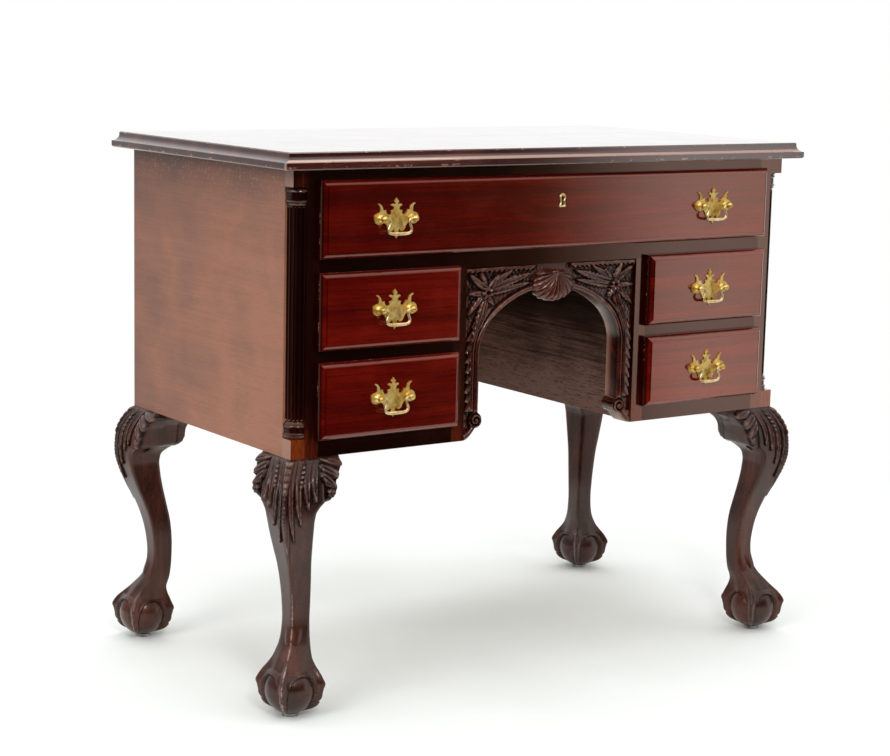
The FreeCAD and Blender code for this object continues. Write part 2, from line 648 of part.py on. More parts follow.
def make_brackets():
    """Knee brackets: a coved profile along each inner side of a leg, mitred where two of them meet."""
    inner = s.leg_blank - s.knee_out
    rise = case_bottom - s.knee_height
    bulge = (s.knee_out * s.knee_out + rise * rise) / (2 * s.knee_out)
    head = case_bottom - s.bracket_head
    past = s.knee_out + s.overrun
    cove = plate("bracket_cove", "XZ_Plane", [
        (inner, s.knee_height), (s.bracket_low, s.knee_height),
        (s.bracket_low, head - s.bracket_cove, s.bracket_low - s.bracket_high), (s.bracket_high, head),
        (s.bracket_high, case_bottom), (inner, case_bottom),
    ], s.bracket_high + past, away=True)
    move(cove, y=-past)
    knee = plate("bracket_knee", "YZ_Plane", [
        (s.bracket_high, s.knee_height), (s.bracket_high, case_bottom), (zero, case_bottom, bulge),
        (-s.knee_out, s.knee_height),
    ], s.bracket_high)
    mitre = plate("bracket_mitre", "XY_Plane", [
        (inner, -past), (s.bracket_high, -past), (s.bracket_high, s.bracket_high), (inner, inner),
    ], case_bottom)
    side = common("bracket_side", [cove, knee, mitre])
    other = mirror("bracket_front", side, (1, -1, 0))
    pair = move(group("bracket_pair", [side, other]), -half_width, front)
    node(group("knee_brackets", at_corners("bracket", pair)))


def make_drawer(name, across, pulls):
    """A lipped drawer: a thumb-moulded front, dovetailed sides, a back and a bottom held in grooves."""
    floor = {"long": long_floor, "upper": upper_floor, "lower": lower_floor}[name.split("_")[0]]
    ceiling = floor + opening_height
    wide = (across[0] + s.drawer_gap, across[1] - s.drawer_gap)
    low, high = floor + s.running_gap, ceiling - s.drawer_top_gap
    shoulder, end = front + s.front_inside, back_inside - s.drawer_back_room
    proud = s.front_proud - s.lip_gap
    lip = moulded_slab(f"lip_{name}", (across[0] - s.lip_overlap, across[1] + s.lip_overlap),
                       (floor - s.lip_overlap, ceiling + s.lip_overlap),
                       [(zero, zero), (zero, s.lip_edge, s.thumb_width),
                        (s.thumb_width, proud - s.thumb_step), (s.thumb_width, proud)])
    lip.Placement.Rotation = FreeCAD.Rotation(FreeCAD.Vector(1, 0, 0), 90)
    move(lip, y=front - s.lip_gap)
    block = board(f"front_block_{name}", wide, (front - s.lip_gap, shoulder), (low, high))
    blank = fuse(f"front_blank_{name}", [lip, block])

    pitch = (high - low) / TAILS
    tails = []
    for index in reversed(range(TAILS)):
        middle = low + pitch * (index + 1 / 2)
        neck, tip = pitch * (tail_neck_share / 2), pitch * (tail_tip_share / 2)
        tails += [(shoulder, middle + neck), (shoulder - s.tail_length, middle + tip),
                  (shoulder - s.tail_length, middle - tip), (shoulder, middle - neck)]
    shape = [(shoulder, low), (end, low), (end, high), (shoulder, high), *tails]
    sides = []
    for hand, start in (("left", wide[0]), ("right", wide[1] - s.drawer_side)):
        sides.append(move(plate(f"side_{hand}_{name}", "YZ_Plane", shape, s.drawer_side), x=start))
    shelf = low + s.drawer_bottom_up
    bottom = board(f"drawer_bottom_{name}",
                   (wide[0] + s.drawer_side - s.groove_depth, wide[1] - s.drawer_side + s.groove_depth),
                   (shoulder - s.groove_depth, end), (shelf, shelf + s.drawer_bottom))
    grooved = [cut(f"{side.Name}_grooved", side, [bottom]) for side in sides]
    rear = board(f"drawer_rear_{name}", (wide[0] + s.drawer_side, wide[1] - s.drawer_side),
                 (end - s.drawer_back, end), (shelf + s.drawer_bottom, high - s.drawer_back_drop))
    tools = [*sides, bottom]
    for index, (x, z) in enumerate(post_places(pulls, floor)):
        half = s.shank_side / 2 + s.shank_gap
        tools.append(board(f"shank_hole_{name}_{index}", (x - half, x + half),
                           (face - s.overrun, shoulder + s.overrun), (z - half, z + half)))
    if name == "long":
        tools += lock_cuts()
    node(cut(f"drawer_front_{name}", blank, tools))
    node(group(f"drawer_box_{name}", [*grooved, rear]))
    node(bottom)
    make_pulls(name, pulls, floor)


def post_places(pulls, floor):
    """Where the posts of a drawer's pulls stand, across and up."""
    middle = floor + opening_height / 2
    return [(x + s.post_spacing / 2 * side, middle) for x in pulls for side in (-1, 1)]


def make_pulls(name, pulls, floor):
    """Bat-wing plates, posts with nuts, and swan-neck bails on their pins."""
    middle = floor + opening_height / 2
    reach = s.plate_half - s.lobe_radius
    right = [(x * s.plate_half, z * s.plate_reach) for x, z in plate_top_shares]
    for step in range(LOBE_SIDES + 1):
        turn = pi * (1 / 2 - step / LOBE_SIDES)
        right.append((reach + s.lobe_radius * cos(turn), s.lobe_radius * sin(turn)))
    right += [(x * s.plate_half, z * s.plate_reach) for x, z in plate_low_shares]
    left = [(-x, z) for x, z in right[-2:0:-1]]
    half = s.shank_side / 2 + s.shank_gap
    plates, posts = [], []
    for index, x in enumerate(pulls):
        body = new_body(f"plate_{name}_{index}")
        sketch = sketch_on(body, "XZ_Plane", f"plate_outline_{name}_{index}")
        outline(sketch, right + left)
        for side in (-1, 1):
            low, high = s.post_spacing / 2 * side - half, s.post_spacing / 2 * side + half
            outline(sketch, [(low, -half), (high, -half), (high, half), (low, half)])
        pad(body, sketch, s.plate_thick)
        plates.append(move(body, x, face, middle))
        node(make_bail(name if len(pulls) == 1 else f"{name}_{('left', 'right')[index]}", x, middle))
    for index, (x, z) in enumerate(post_places(pulls, floor)):
        posts += make_post(f"{name}_{index}", x, z)
    node(group(f"pull_plate_{name}", plates))
    node(group(f"pull_posts_{name}", posts))


def make_post(name, x, z):
    """A post: square shank, flange, neck and bored head, and the nut on its end inside the drawer."""
    seat, pivot, inside = face - s.plate_thick, face - s.pivot_out, front + s.front_inside
    half = s.shank_side / 2
    shank = board(f"post_shank_{name}", (x - half, x + half), (seat, inside), (z - half, z + half))
    flange = rod(f"post_flange_{name}", s.flange_radius, s.flange_height, x, seat, z, (0, -1, 0), POST_SIDES)
    neck = rod(f"post_neck_{name}", s.neck_radius, seat - pivot, x, seat, z, (0, -1, 0), POST_SIDES)
    head = move(ball(f"post_head_{name}", s.head_radius, POST_SIDES), x, pivot, z)
    whole = fuse(f"post_whole_{name}", [shank, flange, neck, head])
    eye_radius = (s.pin_radius + s.pin_gap) / cos(pi / POST_SIDES)
    past = s.head_radius + s.overrun
    eye = rod(f"post_eye_{name}", eye_radius, past * 2, x - past, pivot, z, (1, 0, 0), POST_SIDES)
    nut = rod(f"nut_{name}", s.nut_radius, s.nut_height, x, inside, z, (0, 1, 0), NUT_SIDES)
    return [cut(f"post_{name}", whole, [eye]), nut]


def make_bail(name, x, z):
    """A swan-neck bail: a many-sided wire from pin to pin."""
    pin = s.post_spacing / 2 + s.pin_end
    low = s.bail_corner - s.bail_drop
    turn = s.bail_corner * (1 - sqrt(1 / 2))
    half = [
        (pin, zero), (s.bail_neck + s.bail_bend, zero), (s.bail_neck, -s.bail_bend),
        ((s.bail_neck + s.bail_half) / 2, (low - s.bail_bend) / 2), (s.bail_half, low),
        (s.bail_half - turn, turn - s.bail_drop), (s.bail_half - s.bail_corner, -s.bail_drop),
    ]
    body = new_body(f"pull_bail_{name}")
    path = sketch_on(body, "XZ_Plane", f"bail_path_{name}")
    outline(path, [(-across, up) for across, up in half] + half[::-1], closed=False)
    section = sketch_on(body, "YZ_Plane", f"bail_section_{name}")
    bind(section, AttachmentOffset__Base__z=-pin)
    turns = [2 * pi * (side + 1 / 2) / POST_SIDES for side in range(POST_SIDES)]
    outline(section, [(s.pin_radius * cos(turn), s.pin_radius * sin(turn)) for turn in turns])
    doc.recompute()
    pipe = body.newObject("PartDesign::AdditivePipe", f"bail_wire_{name}")
    pipe.Profile = section
    pipe.Spine = (path, [f"Edge{i + 1}" for i in range(path.GeometryCount)])
    pipe.Transition = "Right corner"
    return move(body, x, face - s.pivot_out, z)


key_middle = long_floor + opening_height / 2 + s.key_height
key_plate = (key_middle - s.plate_key_height * key_low_share, key_middle + s.plate_key_height * key_high_share)


def keyhole(label, start, end):
    """A keyhole through part of the front, between two depths."""
    bow = rod(label + "_bow", s.key_radius, end - start, zero, start, key_middle, (0, 1, 0), POST_SIDES)
    slot = board(label + "_slot", (-s.key_slot / 2, s.key_slot / 2), (start, end),
                 (key_middle - s.key_drop, key_middle))
    return fuse(label, [bow, slot])


def lock_cuts():
    """What the lock and its keyhole take out of the long drawer's front."""
    half = s.lock_width / 2
    top = long_floor + opening_height - s.drawer_top_gap
    mortise = board("lock_mortise", (-half, half),
                    (front + s.front_inside - s.lock_depth, front + s.front_inside + s.overrun),
                    (top - s.lock_height, top + s.overrun))
    inlay = board("escutcheon_bed", (-s.plate_key_width / 2, s.plate_key_width / 2),
                  (face - s.overrun, face + s.plate_key_deep), key_plate)
    return [mortise, inlay, keyhole("key_passage", face - s.overrun, front + s.front_inside)]


def make_lock():
    """Keyhole plate, lock case and the bolt that slides up into the top rail."""
    top = long_floor + opening_height - s.drawer_top_gap
    half = s.lock_width / 2
    inside = front + s.front_inside
    shell = board("lock_shell", (-half, half), (inside - s.lock_depth, inside), (top - s.lock_height, top))
    bolt_half = s.bolt_width / 2
    channel = board("lock_channel", (-bolt_half - s.bolt_gap, bolt_half + s.bolt_gap),
                    (bolt_front - s.bolt_gap, bolt_front + s.bolt_thick + s.bolt_gap),
                    (bolt_top - s.bolt_length - s.bolt_gap, top + s.overrun))
    node(cut("lock_case", shell, [channel]))
    node(board("lock_bolt", (-bolt_half, bolt_half), (bolt_front, bolt_front + s.bolt_thick),
               (bolt_top - s.bolt_length, bolt_top)))
    blank = board("escutcheon_blank", (-s.plate_key_width / 2, s.plate_key_width / 2),
                  (face - s.plate_key_proud, face + s.plate_key_deep), key_plate)
    node(cut("keyhole_escutcheon", blank,
             [keyhole("escutcheon_hole", face - s.overrun, face + s.plate_key_deep + s.overrun)]))


def write_parts():
    """Check every object and piece, then write each piece to its own file."""
    doc.recompute()
    for thing in doc.Objects:
        if "Invalid" in thing.State or "Error" in thing.State:
            raise RuntimeError(f"{thing.Label} failed: {thing.State}")
        if thing.TypeId.startswith("Part::") and not thing.Shape.Solids:
            raise RuntimeError(f"{thing.Label} is empty")
    for piece in nodes:
        shape = piece.Shape
        if shape.isNull() or not shape.isValid() or not shape.Solids:
            raise RuntimeError(f"{piece.Label} has no valid solid")
    os.makedirs("parts", exist_ok=True)
    for piece in nodes:
        piece.Shape.exportStep(f"parts/{piece.Label}.step")
    print(f"{len(nodes)} pieces, {sum(len(piece.Shape.Solids) for piece in nodes)} solids")


make_top()
make_case()
make_columns()
make_shell(make_arch())
make_legs()
make_brackets()
make_drawer("long", (-outer_edge, outer_edge), [-pull_x, pull_x])
for level in ("upper", "lower"):
    make_drawer(f"{level}_left", (-outer_edge, -inner_edge), [-pull_x])
    make_drawer(f"{level}_right", (inner_edge, outer_edge), [pull_x])
make_lock()
write_parts()
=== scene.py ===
import json
import math

import bmesh
import bpy
import numpy as np
from mathutils import Matrix, Vector, geometry


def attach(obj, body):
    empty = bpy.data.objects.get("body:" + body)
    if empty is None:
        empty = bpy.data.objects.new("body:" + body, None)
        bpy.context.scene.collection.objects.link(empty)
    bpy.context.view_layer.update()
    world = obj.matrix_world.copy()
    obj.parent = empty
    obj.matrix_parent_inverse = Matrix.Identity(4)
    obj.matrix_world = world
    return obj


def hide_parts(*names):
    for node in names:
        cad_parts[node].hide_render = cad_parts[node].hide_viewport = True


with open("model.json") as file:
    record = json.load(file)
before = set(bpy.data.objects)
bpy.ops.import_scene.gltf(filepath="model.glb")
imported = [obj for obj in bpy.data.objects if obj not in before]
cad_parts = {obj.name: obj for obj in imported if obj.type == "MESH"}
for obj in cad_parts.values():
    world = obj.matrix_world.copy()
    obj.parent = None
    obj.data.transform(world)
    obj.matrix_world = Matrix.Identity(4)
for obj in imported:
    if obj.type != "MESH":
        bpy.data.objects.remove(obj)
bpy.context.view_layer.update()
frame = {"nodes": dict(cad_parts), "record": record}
nodes = frame["nodes"]
mm = 0.001
print("frame loaded,", len(nodes), "nodes")


def linear(hexCode):
    # sRGB hex to linear light, with alpha
    srgb = [int(hexCode[i:i + 2], 16) / 255 for i in (1, 3, 5)]
    return tuple(c / 12.92 if c <= 0.04045 else ((c + 0.055) / 1.055) ** 2.4 for c in srgb) + (1.0,)


def addNode(tree, kind, settings=None, links=None):
    # a setting goes to the input of that name or number, or else to the node; stops fill a colour ramp.
    # A link comes from an output, or from a node's first one
    made = tree.nodes.new("ShaderNode" + kind)
    for key, value in (settings or {}).items():
        if key == "stops":
            ramp = made.color_ramp
            while len(ramp.elements) < len(value):
                ramp.elements.new(0.5)
            for element, (place, colour) in zip(ramp.elements, value):
                element.position = place
                element.color = colour
        elif isinstance(key, int) or key in made.inputs:
            made.inputs[key].default_value = value
        else:
            setattr(made, key, value)
    for key, source in (links or {}).items():
        tree.links.new(source.outputs[0] if hasattr(source, "outputs") else source, made.inputs[key])
    return made


def newMaterial(name):
    made = bpy.data.materials.new(name)
    made.use_nodes = True
    made.node_tree.nodes.clear()
    return made, made.node_tree


grainScale = {  # sizes in metres: along the grain, then across it
    "figure": (0.42, 0.026),
    "grain": (0.11, 0.0026),  # real grain is under a millimetre, drawn coarser so that it shows
    "pores": (0.012, 0.0014),  # pores are 0.2 mm wide, drawn coarser so that they show
    "mottle": (0.090, 0.070),
}
bareWood = {  # what a wood has where its finish says nothing else
    "figure": 1.0, "grain": 0.45, "mottle": 0.25, "pores": 0.45, "bump": 0.06, "coat": 0.0, "coatRough": 0.3,
    "glow": "#ffffff", "sheen": 0.5, "lean": (), "edges": (), "paintedSideShade": 0.0, "scuffs": (), "hollows": False,
}
# painted shade on faces that look to the side, and old polish with painted shade in the hollows
shadeAndOldPolish = {"ends": "#0d0100", "hollows": "#090201", "hollowShare": 0.92, "hollowSheen": 0.05}
woodMarks = {"contrast": 0.2, "poreDepth": 0.0004, "chip": 0.014, "speck": 0.0045}  # depth and sizes in metres


def polishedWood(name, direction, dark, mid, light, worn, polish):
    # polished wood: long streaks along the grain, short dark pores, a broad figure and a clear coat over all
    finish = dict(bareWood, **polish)
    made, tree = newMaterial(name)
    texture = addNode(tree, "TexCoord")
    place = texture.outputs["Object"]
    axes = addNode(tree, "SeparateXYZ", None, {0: place}).outputs
    noises = {}
    for part, (along, across) in grainScale.items():
        size = [1 / across] * 3
        size["XYZ".index(direction)] = 1 / along
        spread = addNode(tree, "Mapping", {"Scale": size}, {"Vector": place})
        noises[part] = addNode(tree, "TexNoise",
                               {"Scale": 1.0, "Detail": 1.0 if part == "pores" else 4.0, "Roughness": 0.55,
                                "Distortion": 0.4}, {"Vector": spread}).outputs["Fac"]
    tone = addNode(tree, "Math", {"operation": "MULTIPLY", 1: finish["figure"]}, {0: noises["figure"]})
    for part in ("grain", "mottle"):
        tone = addNode(tree, "Math", {"operation": "MULTIPLY_ADD", 1: finish[part]}, {0: noises[part], 2: tone})
    for axis, low, high, shift in finish["lean"]:
        # paler towards one end of the board; on the side panel and the kneehole walls this is painted shade
        slope = addNode(tree, "MapRange",
                        {"From Min": low, "From Max": high, "To Min": -shift, "To Max": shift},
                        {"Value": axes[axis]})
        tone = addNode(tree, "Math", {"operation": "ADD"}, {0: tone, 1: slope})
    middle = (finish["grain"] + finish["figure"] + finish["mottle"]) / 2
    tone = addNode(tree, "MapRange", {"From Min": middle - woodMarks["contrast"],
                                      "From Max": middle + woodMarks["contrast"]}, {"Value": tone})
    ramp = addNode(tree, "ValToRGB", {"stops": [(0.0, linear(dark)), (0.5, linear(mid)), (1.0, linear(light))]},
                   {"Fac": tone})
    poreMask = addNode(tree, "MapRange", {"From Min": 0.54, "From Max": 0.68, "To Max": finish["pores"]},
                       {"Value": noises["pores"]})
    grained = addNode(tree, "Mix", {"data_type": "RGBA", 7: linear(dark)}, {0: poreMask, 6: ramp}).outputs[2]
    if finish["paintedSideShade"]:
        # painted shade: the narrow faces that look to the side are darkened
        facing = addNode(tree, "SeparateXYZ", None, {0: texture.outputs["Normal"]}).outputs["X"]
        aside = addNode(tree, "Math", {"operation": "ABSOLUTE"}, {0: facing})
        aside = addNode(tree, "MapRange", {"From Min": 0.5, "From Max": 0.8, "To Max": finish["paintedSideShade"]},
                        {"Value": aside})
        grained = addNode(tree, "Mix", {"data_type": "RGBA", 7: linear(shadeAndOldPolish["ends"])},
                          {0: aside, 6: grained}).outputs[2]
    # the carving's mark: above nought it is rubbed pale and a painted highlight on a ridge, below nought it is
    # old polish and painted shade in a hollow
    rub = addNode(tree, "Attribute", {"attribute_name": "wear"}).outputs["Fac"]
    hollow = addNode(tree, "MapRange", {"From Min": 0.0, "From Max": -1.0, "To Max": shadeAndOldPolish["hollowShare"]},
                     {"Value": rub})
    grained = addNode(tree, "Mix", {"data_type": "RGBA", 7: linear(shadeAndOldPolish["hollows"])},
                      {0: hollow, 6: grained}).outputs[2]
    chips = addNode(tree, "TexNoise", {"Scale": 1 / woodMarks["chip"], "Detail": 3.0, "Roughness": 0.7},
                    {"Vector": place}).outputs["Fac"]
    for axis, at, wide, least, most in finish["edges"]:
        # an edge rubbed pale and given a painted highlight: a thin band where one coordinate is that of the
        # edge, broken up by chips
        band = addNode(tree, "Math", {"operation": "COMPARE", 1: at, 2: wide}, {0: axes[axis]})
        broken = addNode(tree, "MapRange", {"From Min": least, "From Max": least + 0.12, "To Max": most},
                         {"Value": chips})
        band = addNode(tree, "Math", {"operation": "MULTIPLY"}, {0: band, 1: broken})
        rub = addNode(tree, "Math", {"operation": "MAXIMUM"}, {0: rub, 1: band})
    if finish["scuffs"]:
        # scuffs: small pale specks that thin out below a height
        low, high = finish["scuffs"]
        specks = addNode(tree, "TexNoise", {"Scale": 1 / woodMarks["speck"], "Detail": 2.0, "Roughness": 0.8},
                         {"Vector": place}).outputs["Fac"]
        specks = addNode(tree, "MapRange", {"From Min": 0.60, "From Max": 0.66, "To Max": 0.8},
                         {"Value": specks})
        above = addNode(tree, "MapRange", {"From Min": low, "From Max": high}, {"Value": axes[2]})
        specks = addNode(tree, "Math", {"operation": "MULTIPLY"}, {0: specks, 1: above})
        rub = addNode(tree, "Math", {"operation": "MAXIMUM"}, {0: rub, 1: specks})
    colour = addNode(tree, "Mix", {"data_type": "RGBA", 7: linear(worn)}, {0: rub, 6: grained}).outputs[2]
    rough = addNode(tree, "MapRange", {"From Min": 0.3, "From Max": 0.7, "To Min": finish["rough"] * 0.8,
                                       "To Max": finish["rough"] * 1.3}, {"Value": noises["mottle"]})
    relief = addNode(tree, "Math", {"operation": "MULTIPLY_ADD", 1: -0.8}, {0: poreMask, 2: noises["grain"]})
    bump = addNode(tree, "Bump", {"Strength": finish["bump"], "Distance": woodMarks["poreDepth"]},
                   {"Height": relief})
    links = {"Base Color": colour, "Roughness": rough, "Normal": bump}
    if finish["hollows"]:
        # dust and old polish, and painted shade, take the shine out of the hollows
        links["Specular IOR Level"] = addNode(
            tree, "MapRange", {"From Max": 1.0, "To Min": finish["sheen"], "To Max": shadeAndOldPolish["hollowSheen"]},
            {"Value": hollow})
    shader = addNode(tree, "BsdfPrincipled",
                     {"IOR": 1.5, "Coat Weight": finish["coat"], "Coat Roughness": finish["coatRough"],
                      "Coat IOR": 1.5, "Specular Tint": linear(finish["glow"]),
                      "Specular IOR Level": finish["sheen"]}, links)
    addNode(tree, "OutputMaterial", None, {"Surface": shader})
    return made


metalMarks = {"blotch": 0.009, "rub": 0.0012, "rubDepth": 0.0002}  # sizes and depth in metres


def castMetal(name, dark, mid, light, rough):
    # cast and polished metal: bright and brown tarnished patches in blotches, faint rubbing marks
    made, tree = newMaterial(name)
    place = addNode(tree, "TexCoord").outputs["Object"]
    blotch = addNode(tree, "TexNoise", {"Scale": 1 / metalMarks["blotch"], "Detail": 4.0, "Roughness": 0.6},
                     {"Vector": place}).outputs["Fac"]
    rubbed = addNode(tree, "TexNoise", {"Scale": 1 / metalMarks["rub"], "Detail": 2.0}, {"Vector": place})
    ramp = addNode(tree, "ValToRGB",
                   {"stops": [(0.30, linear(dark)), (0.48, linear(mid)), (0.70, linear(light))]},
                   {"Fac": blotch})
    tarnish = addNode(tree, "Attribute", {"attribute_name": "tarnish"}).outputs["Fac"]
    colour = addNode(tree, "Mix", {"data_type": "RGBA", 7: linear(dark)}, {0: tarnish, 6: ramp}).outputs[2]
    roughness = addNode(tree, "MapRange", {"From Min": 0.3, "From Max": 0.7, "To Min": rough + 0.10,
                                           "To Max": rough - 0.06}, {"Value": blotch})
    bump = addNode(tree, "Bump", {"Strength": 0.10, "Distance": metalMarks["rubDepth"]},
                   {"Height": rubbed.outputs["Fac"]})
    shader = addNode(tree, "BsdfPrincipled", {"Metallic": 1.0},
                     {"Base Color": colour, "Roughness": roughness, "Normal": bump})
    addNode(tree, "OutputMaterial", None, {"Surface": shader})
    return made


# glow: tint of the warm shimmer under the clear coat; sheen: how strong that shimmer is
# edges: axis, place and half width in metres of a pale line, rub and painted highlight, how broken it is and
# how pale
# lean: axis, the places in metres where the board is darkest and palest, and how far its tone shifts there
gloss = {"rough": 0.12, "coat": 0.7, "coatRough": 0.04, "glow": "#ffa064", "sheen": 0.85}
# the pale line along the drawer lips is rubbed pale and painted highlight; their faces that look to the side
# get painted shade
drawerGloss = dict(gloss, edges=((1, -0.2378, 0.0008, 0.55, 0.5),),
                   lean=((0, -0.36, 0.06, 0.03), (2, 0.70, 0.46, 0.05)), paintedSideShade=0.85)
railGloss = dict(gloss, coat=0.5, sheen=0.6)
postGloss = dict(gloss, lean=((2, 0.46, 0.37, 0.2),), hollows=True)
blockGloss = dict(gloss, edges=((0, -0.435, 0.0003, 0.0, 0.55), (0, 0.435, 0.0003, 0.0, 0.55)),
                  lean=((2, 0.70, 0.40, 0.2),))
# the pale bands along the top's nosing and lip edges are rubbed pale and painted highlight
topGloss = {"rough": 0.14, "coat": 0.95, "coatRough": 0.07,
            "edges": ((1, -0.2506, 0.0028, 0.25, 0.55), (2, 0.7566, 0.0011, 0.60, 0.7),
                      (2, 0.7500, 0.0012, 0.57, 0.7), (2, 0.7686, 0.0008, 0.60, 0.7))}
carvedGloss = {"rough": 0.22, "coat": 0.35, "coatRough": 0.1, "mottle": 0.45, "sheen": 0.6, "glow": "#ffd0b8",
               "hollows": True}
legGloss = {"rough": 0.28, "coat": 0.2, "coatRough": 0.12, "mottle": 0.45, "sheen": 0.4, "glow": "#ffe6da",
            "hollows": True}
# on the side the tone darkens towards the top and the back: painted shade under the top's overhang and towards
# the back
satin = {"rough": 0.42, "grain": 0.25, "figure": 0.2, "mottle": 0.6, "scuffs": (0.68, 0.76), "pores": 0.2,
         "lean": ((1, 0.23, -0.15, 0.08), (2, 0.75, 0.62, 0.10))}
# on the kneehole walls the tone darkens towards the top: painted shade inside the kneehole
duller = {"rough": 0.45, "figure": 0.25, "mottle": 0.3, "pores": 0.6, "bump": 0.15, "sheen": 0.15,
          "glow": "#ffd0b8", "lean": ((2, 0.56, 0.39, 0.24),)}
oiled = {"rough": 0.55, "pores": 0.6, "bump": 0.25}
# pale colour for rubbed places and for painted highlights
paleWearAndHighlight = "#c79c88"
# french polished mahogany, red on the drawers and nearly black in the corners, faded brown on the ends
drawerWood = polishedWood("mahogany_drawer_polish", "X", "#3d0201", "#560502", "#721006", paleWearAndHighlight, drawerGloss)
topWood = polishedWood("mahogany_top_polish", "X", "#2c0f0a", "#431b13", "#5c2c20", paleWearAndHighlight, topGloss)
railWood = polishedWood("mahogany_rail_polish", "X", "#0c0100", "#140201", "#220604", paleWearAndHighlight, railGloss)
postWood = polishedWood("mahogany_post_polish", "Z", "#170201", "#2a0704", "#551a0a", paleWearAndHighlight, postGloss)
blockWood = polishedWood("mahogany_corner_block", "Z", "#0c0100", "#3d1006", "#7c3414", paleWearAndHighlight, blockGloss)
carvedWood = polishedWood("mahogany_carved_arch", "X", "#230805", "#3a120b", "#552318", "#9a7060", carvedGloss)
sideWood = polishedWood("mahogany_faded_side", "Y", "#704a3c", "#8e5f4b", "#a87056", paleWearAndHighlight, satin)
legWood = polishedWood("mahogany_carved_leg", "Z", "#230e09", "#391a12", "#52291d", "#b3968a", legGloss)
# the kneehole walls run from nearly black above to paler below: painted shade
kneeWood = polishedWood("mahogany_kneehole_painted_shade", "Y", "#060202", "#3c251e", "#7a5a4f", paleWearAndHighlight, duller)
# unpolished drawer lining and carcase wood: pale, open pored, matt
liningWood = polishedWood("poplar_lining", "Y", "#8a6a45", "#a98a5f", "#bfa277", "#cdb48d", oiled)
backWood = polishedWood("poplar_back_board", "Z", "#6e5236", "#87694a", "#9d7f5d", "#cdb48d", oiled)
brass = castMetal("cast_brass", "#a67f34", "#e0bb64", "#f4dc9a", 0.44)
handledBrass = castMetal("drawn_brass_wire", "#b0904f", "#ead199", "#f8e7be", 0.36)  # rubbed pale by hands
steel = castMetal("turned_steel", "#6d6a66", "#9b9a97", "#c4c4c2", 0.34)

finishes = (  # each finish and what the names of its nodes start with
    (topWood, ("top_board",)),
    (sideWood, ("side_panel",)),
    (backWood, ("back_panel",)),
    (postWood, ("front_post", "inner_stiles", "quarter_column")),
    (railWood, ("top_rail", "middle_rail", "divider_rails", "bottom_rails")),
    (kneeWood, ("kneehole_walls",)),
    (liningWood, ("dust_boards", "drawer_guides", "corner_blocks", "drawer_box", "drawer_bottom")),
    (blockWood, ("column_blocks",)),
    (carvedWood, ("kneehole_arch", "kneehole_shell")),
    (legWood, ("leg_", "knee_brackets")),
    (drawerWood, ("drawer_front",)),
    (brass, ("pull_", "keyhole_escutcheon")),
    (steel, ("foot_glides", "lock_case", "lock_bolt")),
)
for finish, starts in finishes:
    for nodeName, node in nodes.items():
        if nodeName.startswith(starts):
            node.data.materials.clear()
            node.data.materials.append(finish)
print("finishes laid on the CAD nodes")



def smoothLine(at, knots):
    # cubic curve through the knots, each knot's slope taken from its two neighbours
    x, y = np.array(knots, float).T
    slope = np.gradient(y, x)
    at = np.clip(at, x[0], x[-1])
    i = np.clip(np.searchsorted(x, at) - 1, 0, len(x) - 2)
    h = x[i + 1] - x[i]
    t = (at - x[i]) / h
    return ((1 + 2 * t) * (1 - t) ** 2 * y[i] + t * (1 - t) ** 2 * h * slope[i]
            + t * t * (3 - 2 * t) * y[i + 1] + t * t * (t - 1) * h * slope[i + 1])


def smoothPath(corners, steps):
    # curve through the corners: each coordinate is a smooth line over the length walked so far
    corners = np.array(corners, float)
    walked = np.concatenate([[0], np.cumsum(np.linalg.norm(np.diff(corners, axis=0), axis=1))])
    at = np.linspace(0, walked[-1], steps)
    return np.stack([smoothLine(at, np.stack([walked, column], 1)) for column in corners.T], -1)


def patchy(x, y, size):
    # uneven patches from a few crossing waves, 0 to 1, the same on every run
    a, b = np.asarray(x) / size, np.asarray(y) / size
    waves = np.sin(a * 2.1 + 1.7 * np.sin(b * 1.3 + 0.4)) + np.sin(b * 2.9 + 1.3 * np.sin(a * 1.9 + 2.0))
    waves = waves + 0.7 * np.sin(a * 5.3 + b * 4.1 + 1.1) + 0.5 * np.sin(a * 9.7 - b * 7.9)
    return np.clip(0.5 + waves / 5.0, 0, 1)


def carvedMarks(height, reach, uneven):
    # old polish and painted shade in the hollows, and rub and painted highlight on the ridges, of a grid of
    # heights: how far each place lies below or above the mean of its neighbours, in mm, as a mark from -1 to 1
    spread = height
    for axis in (0, 1):
        spread = sum(np.roll(spread, step, axis) for step in range(-reach, reach + 1)) / (2 * reach + 1)
    proud = height - spread
    return 0.6 * np.clip(proud - 0.35, 0, 1) * uneven ** 1.5 - np.clip(-1.5 * proud, 0, 1)


meshTidy = {"merge": 2e-6, "sharp": 42.0}  # gap in metres under which doubles merge, angle of a sharp edge


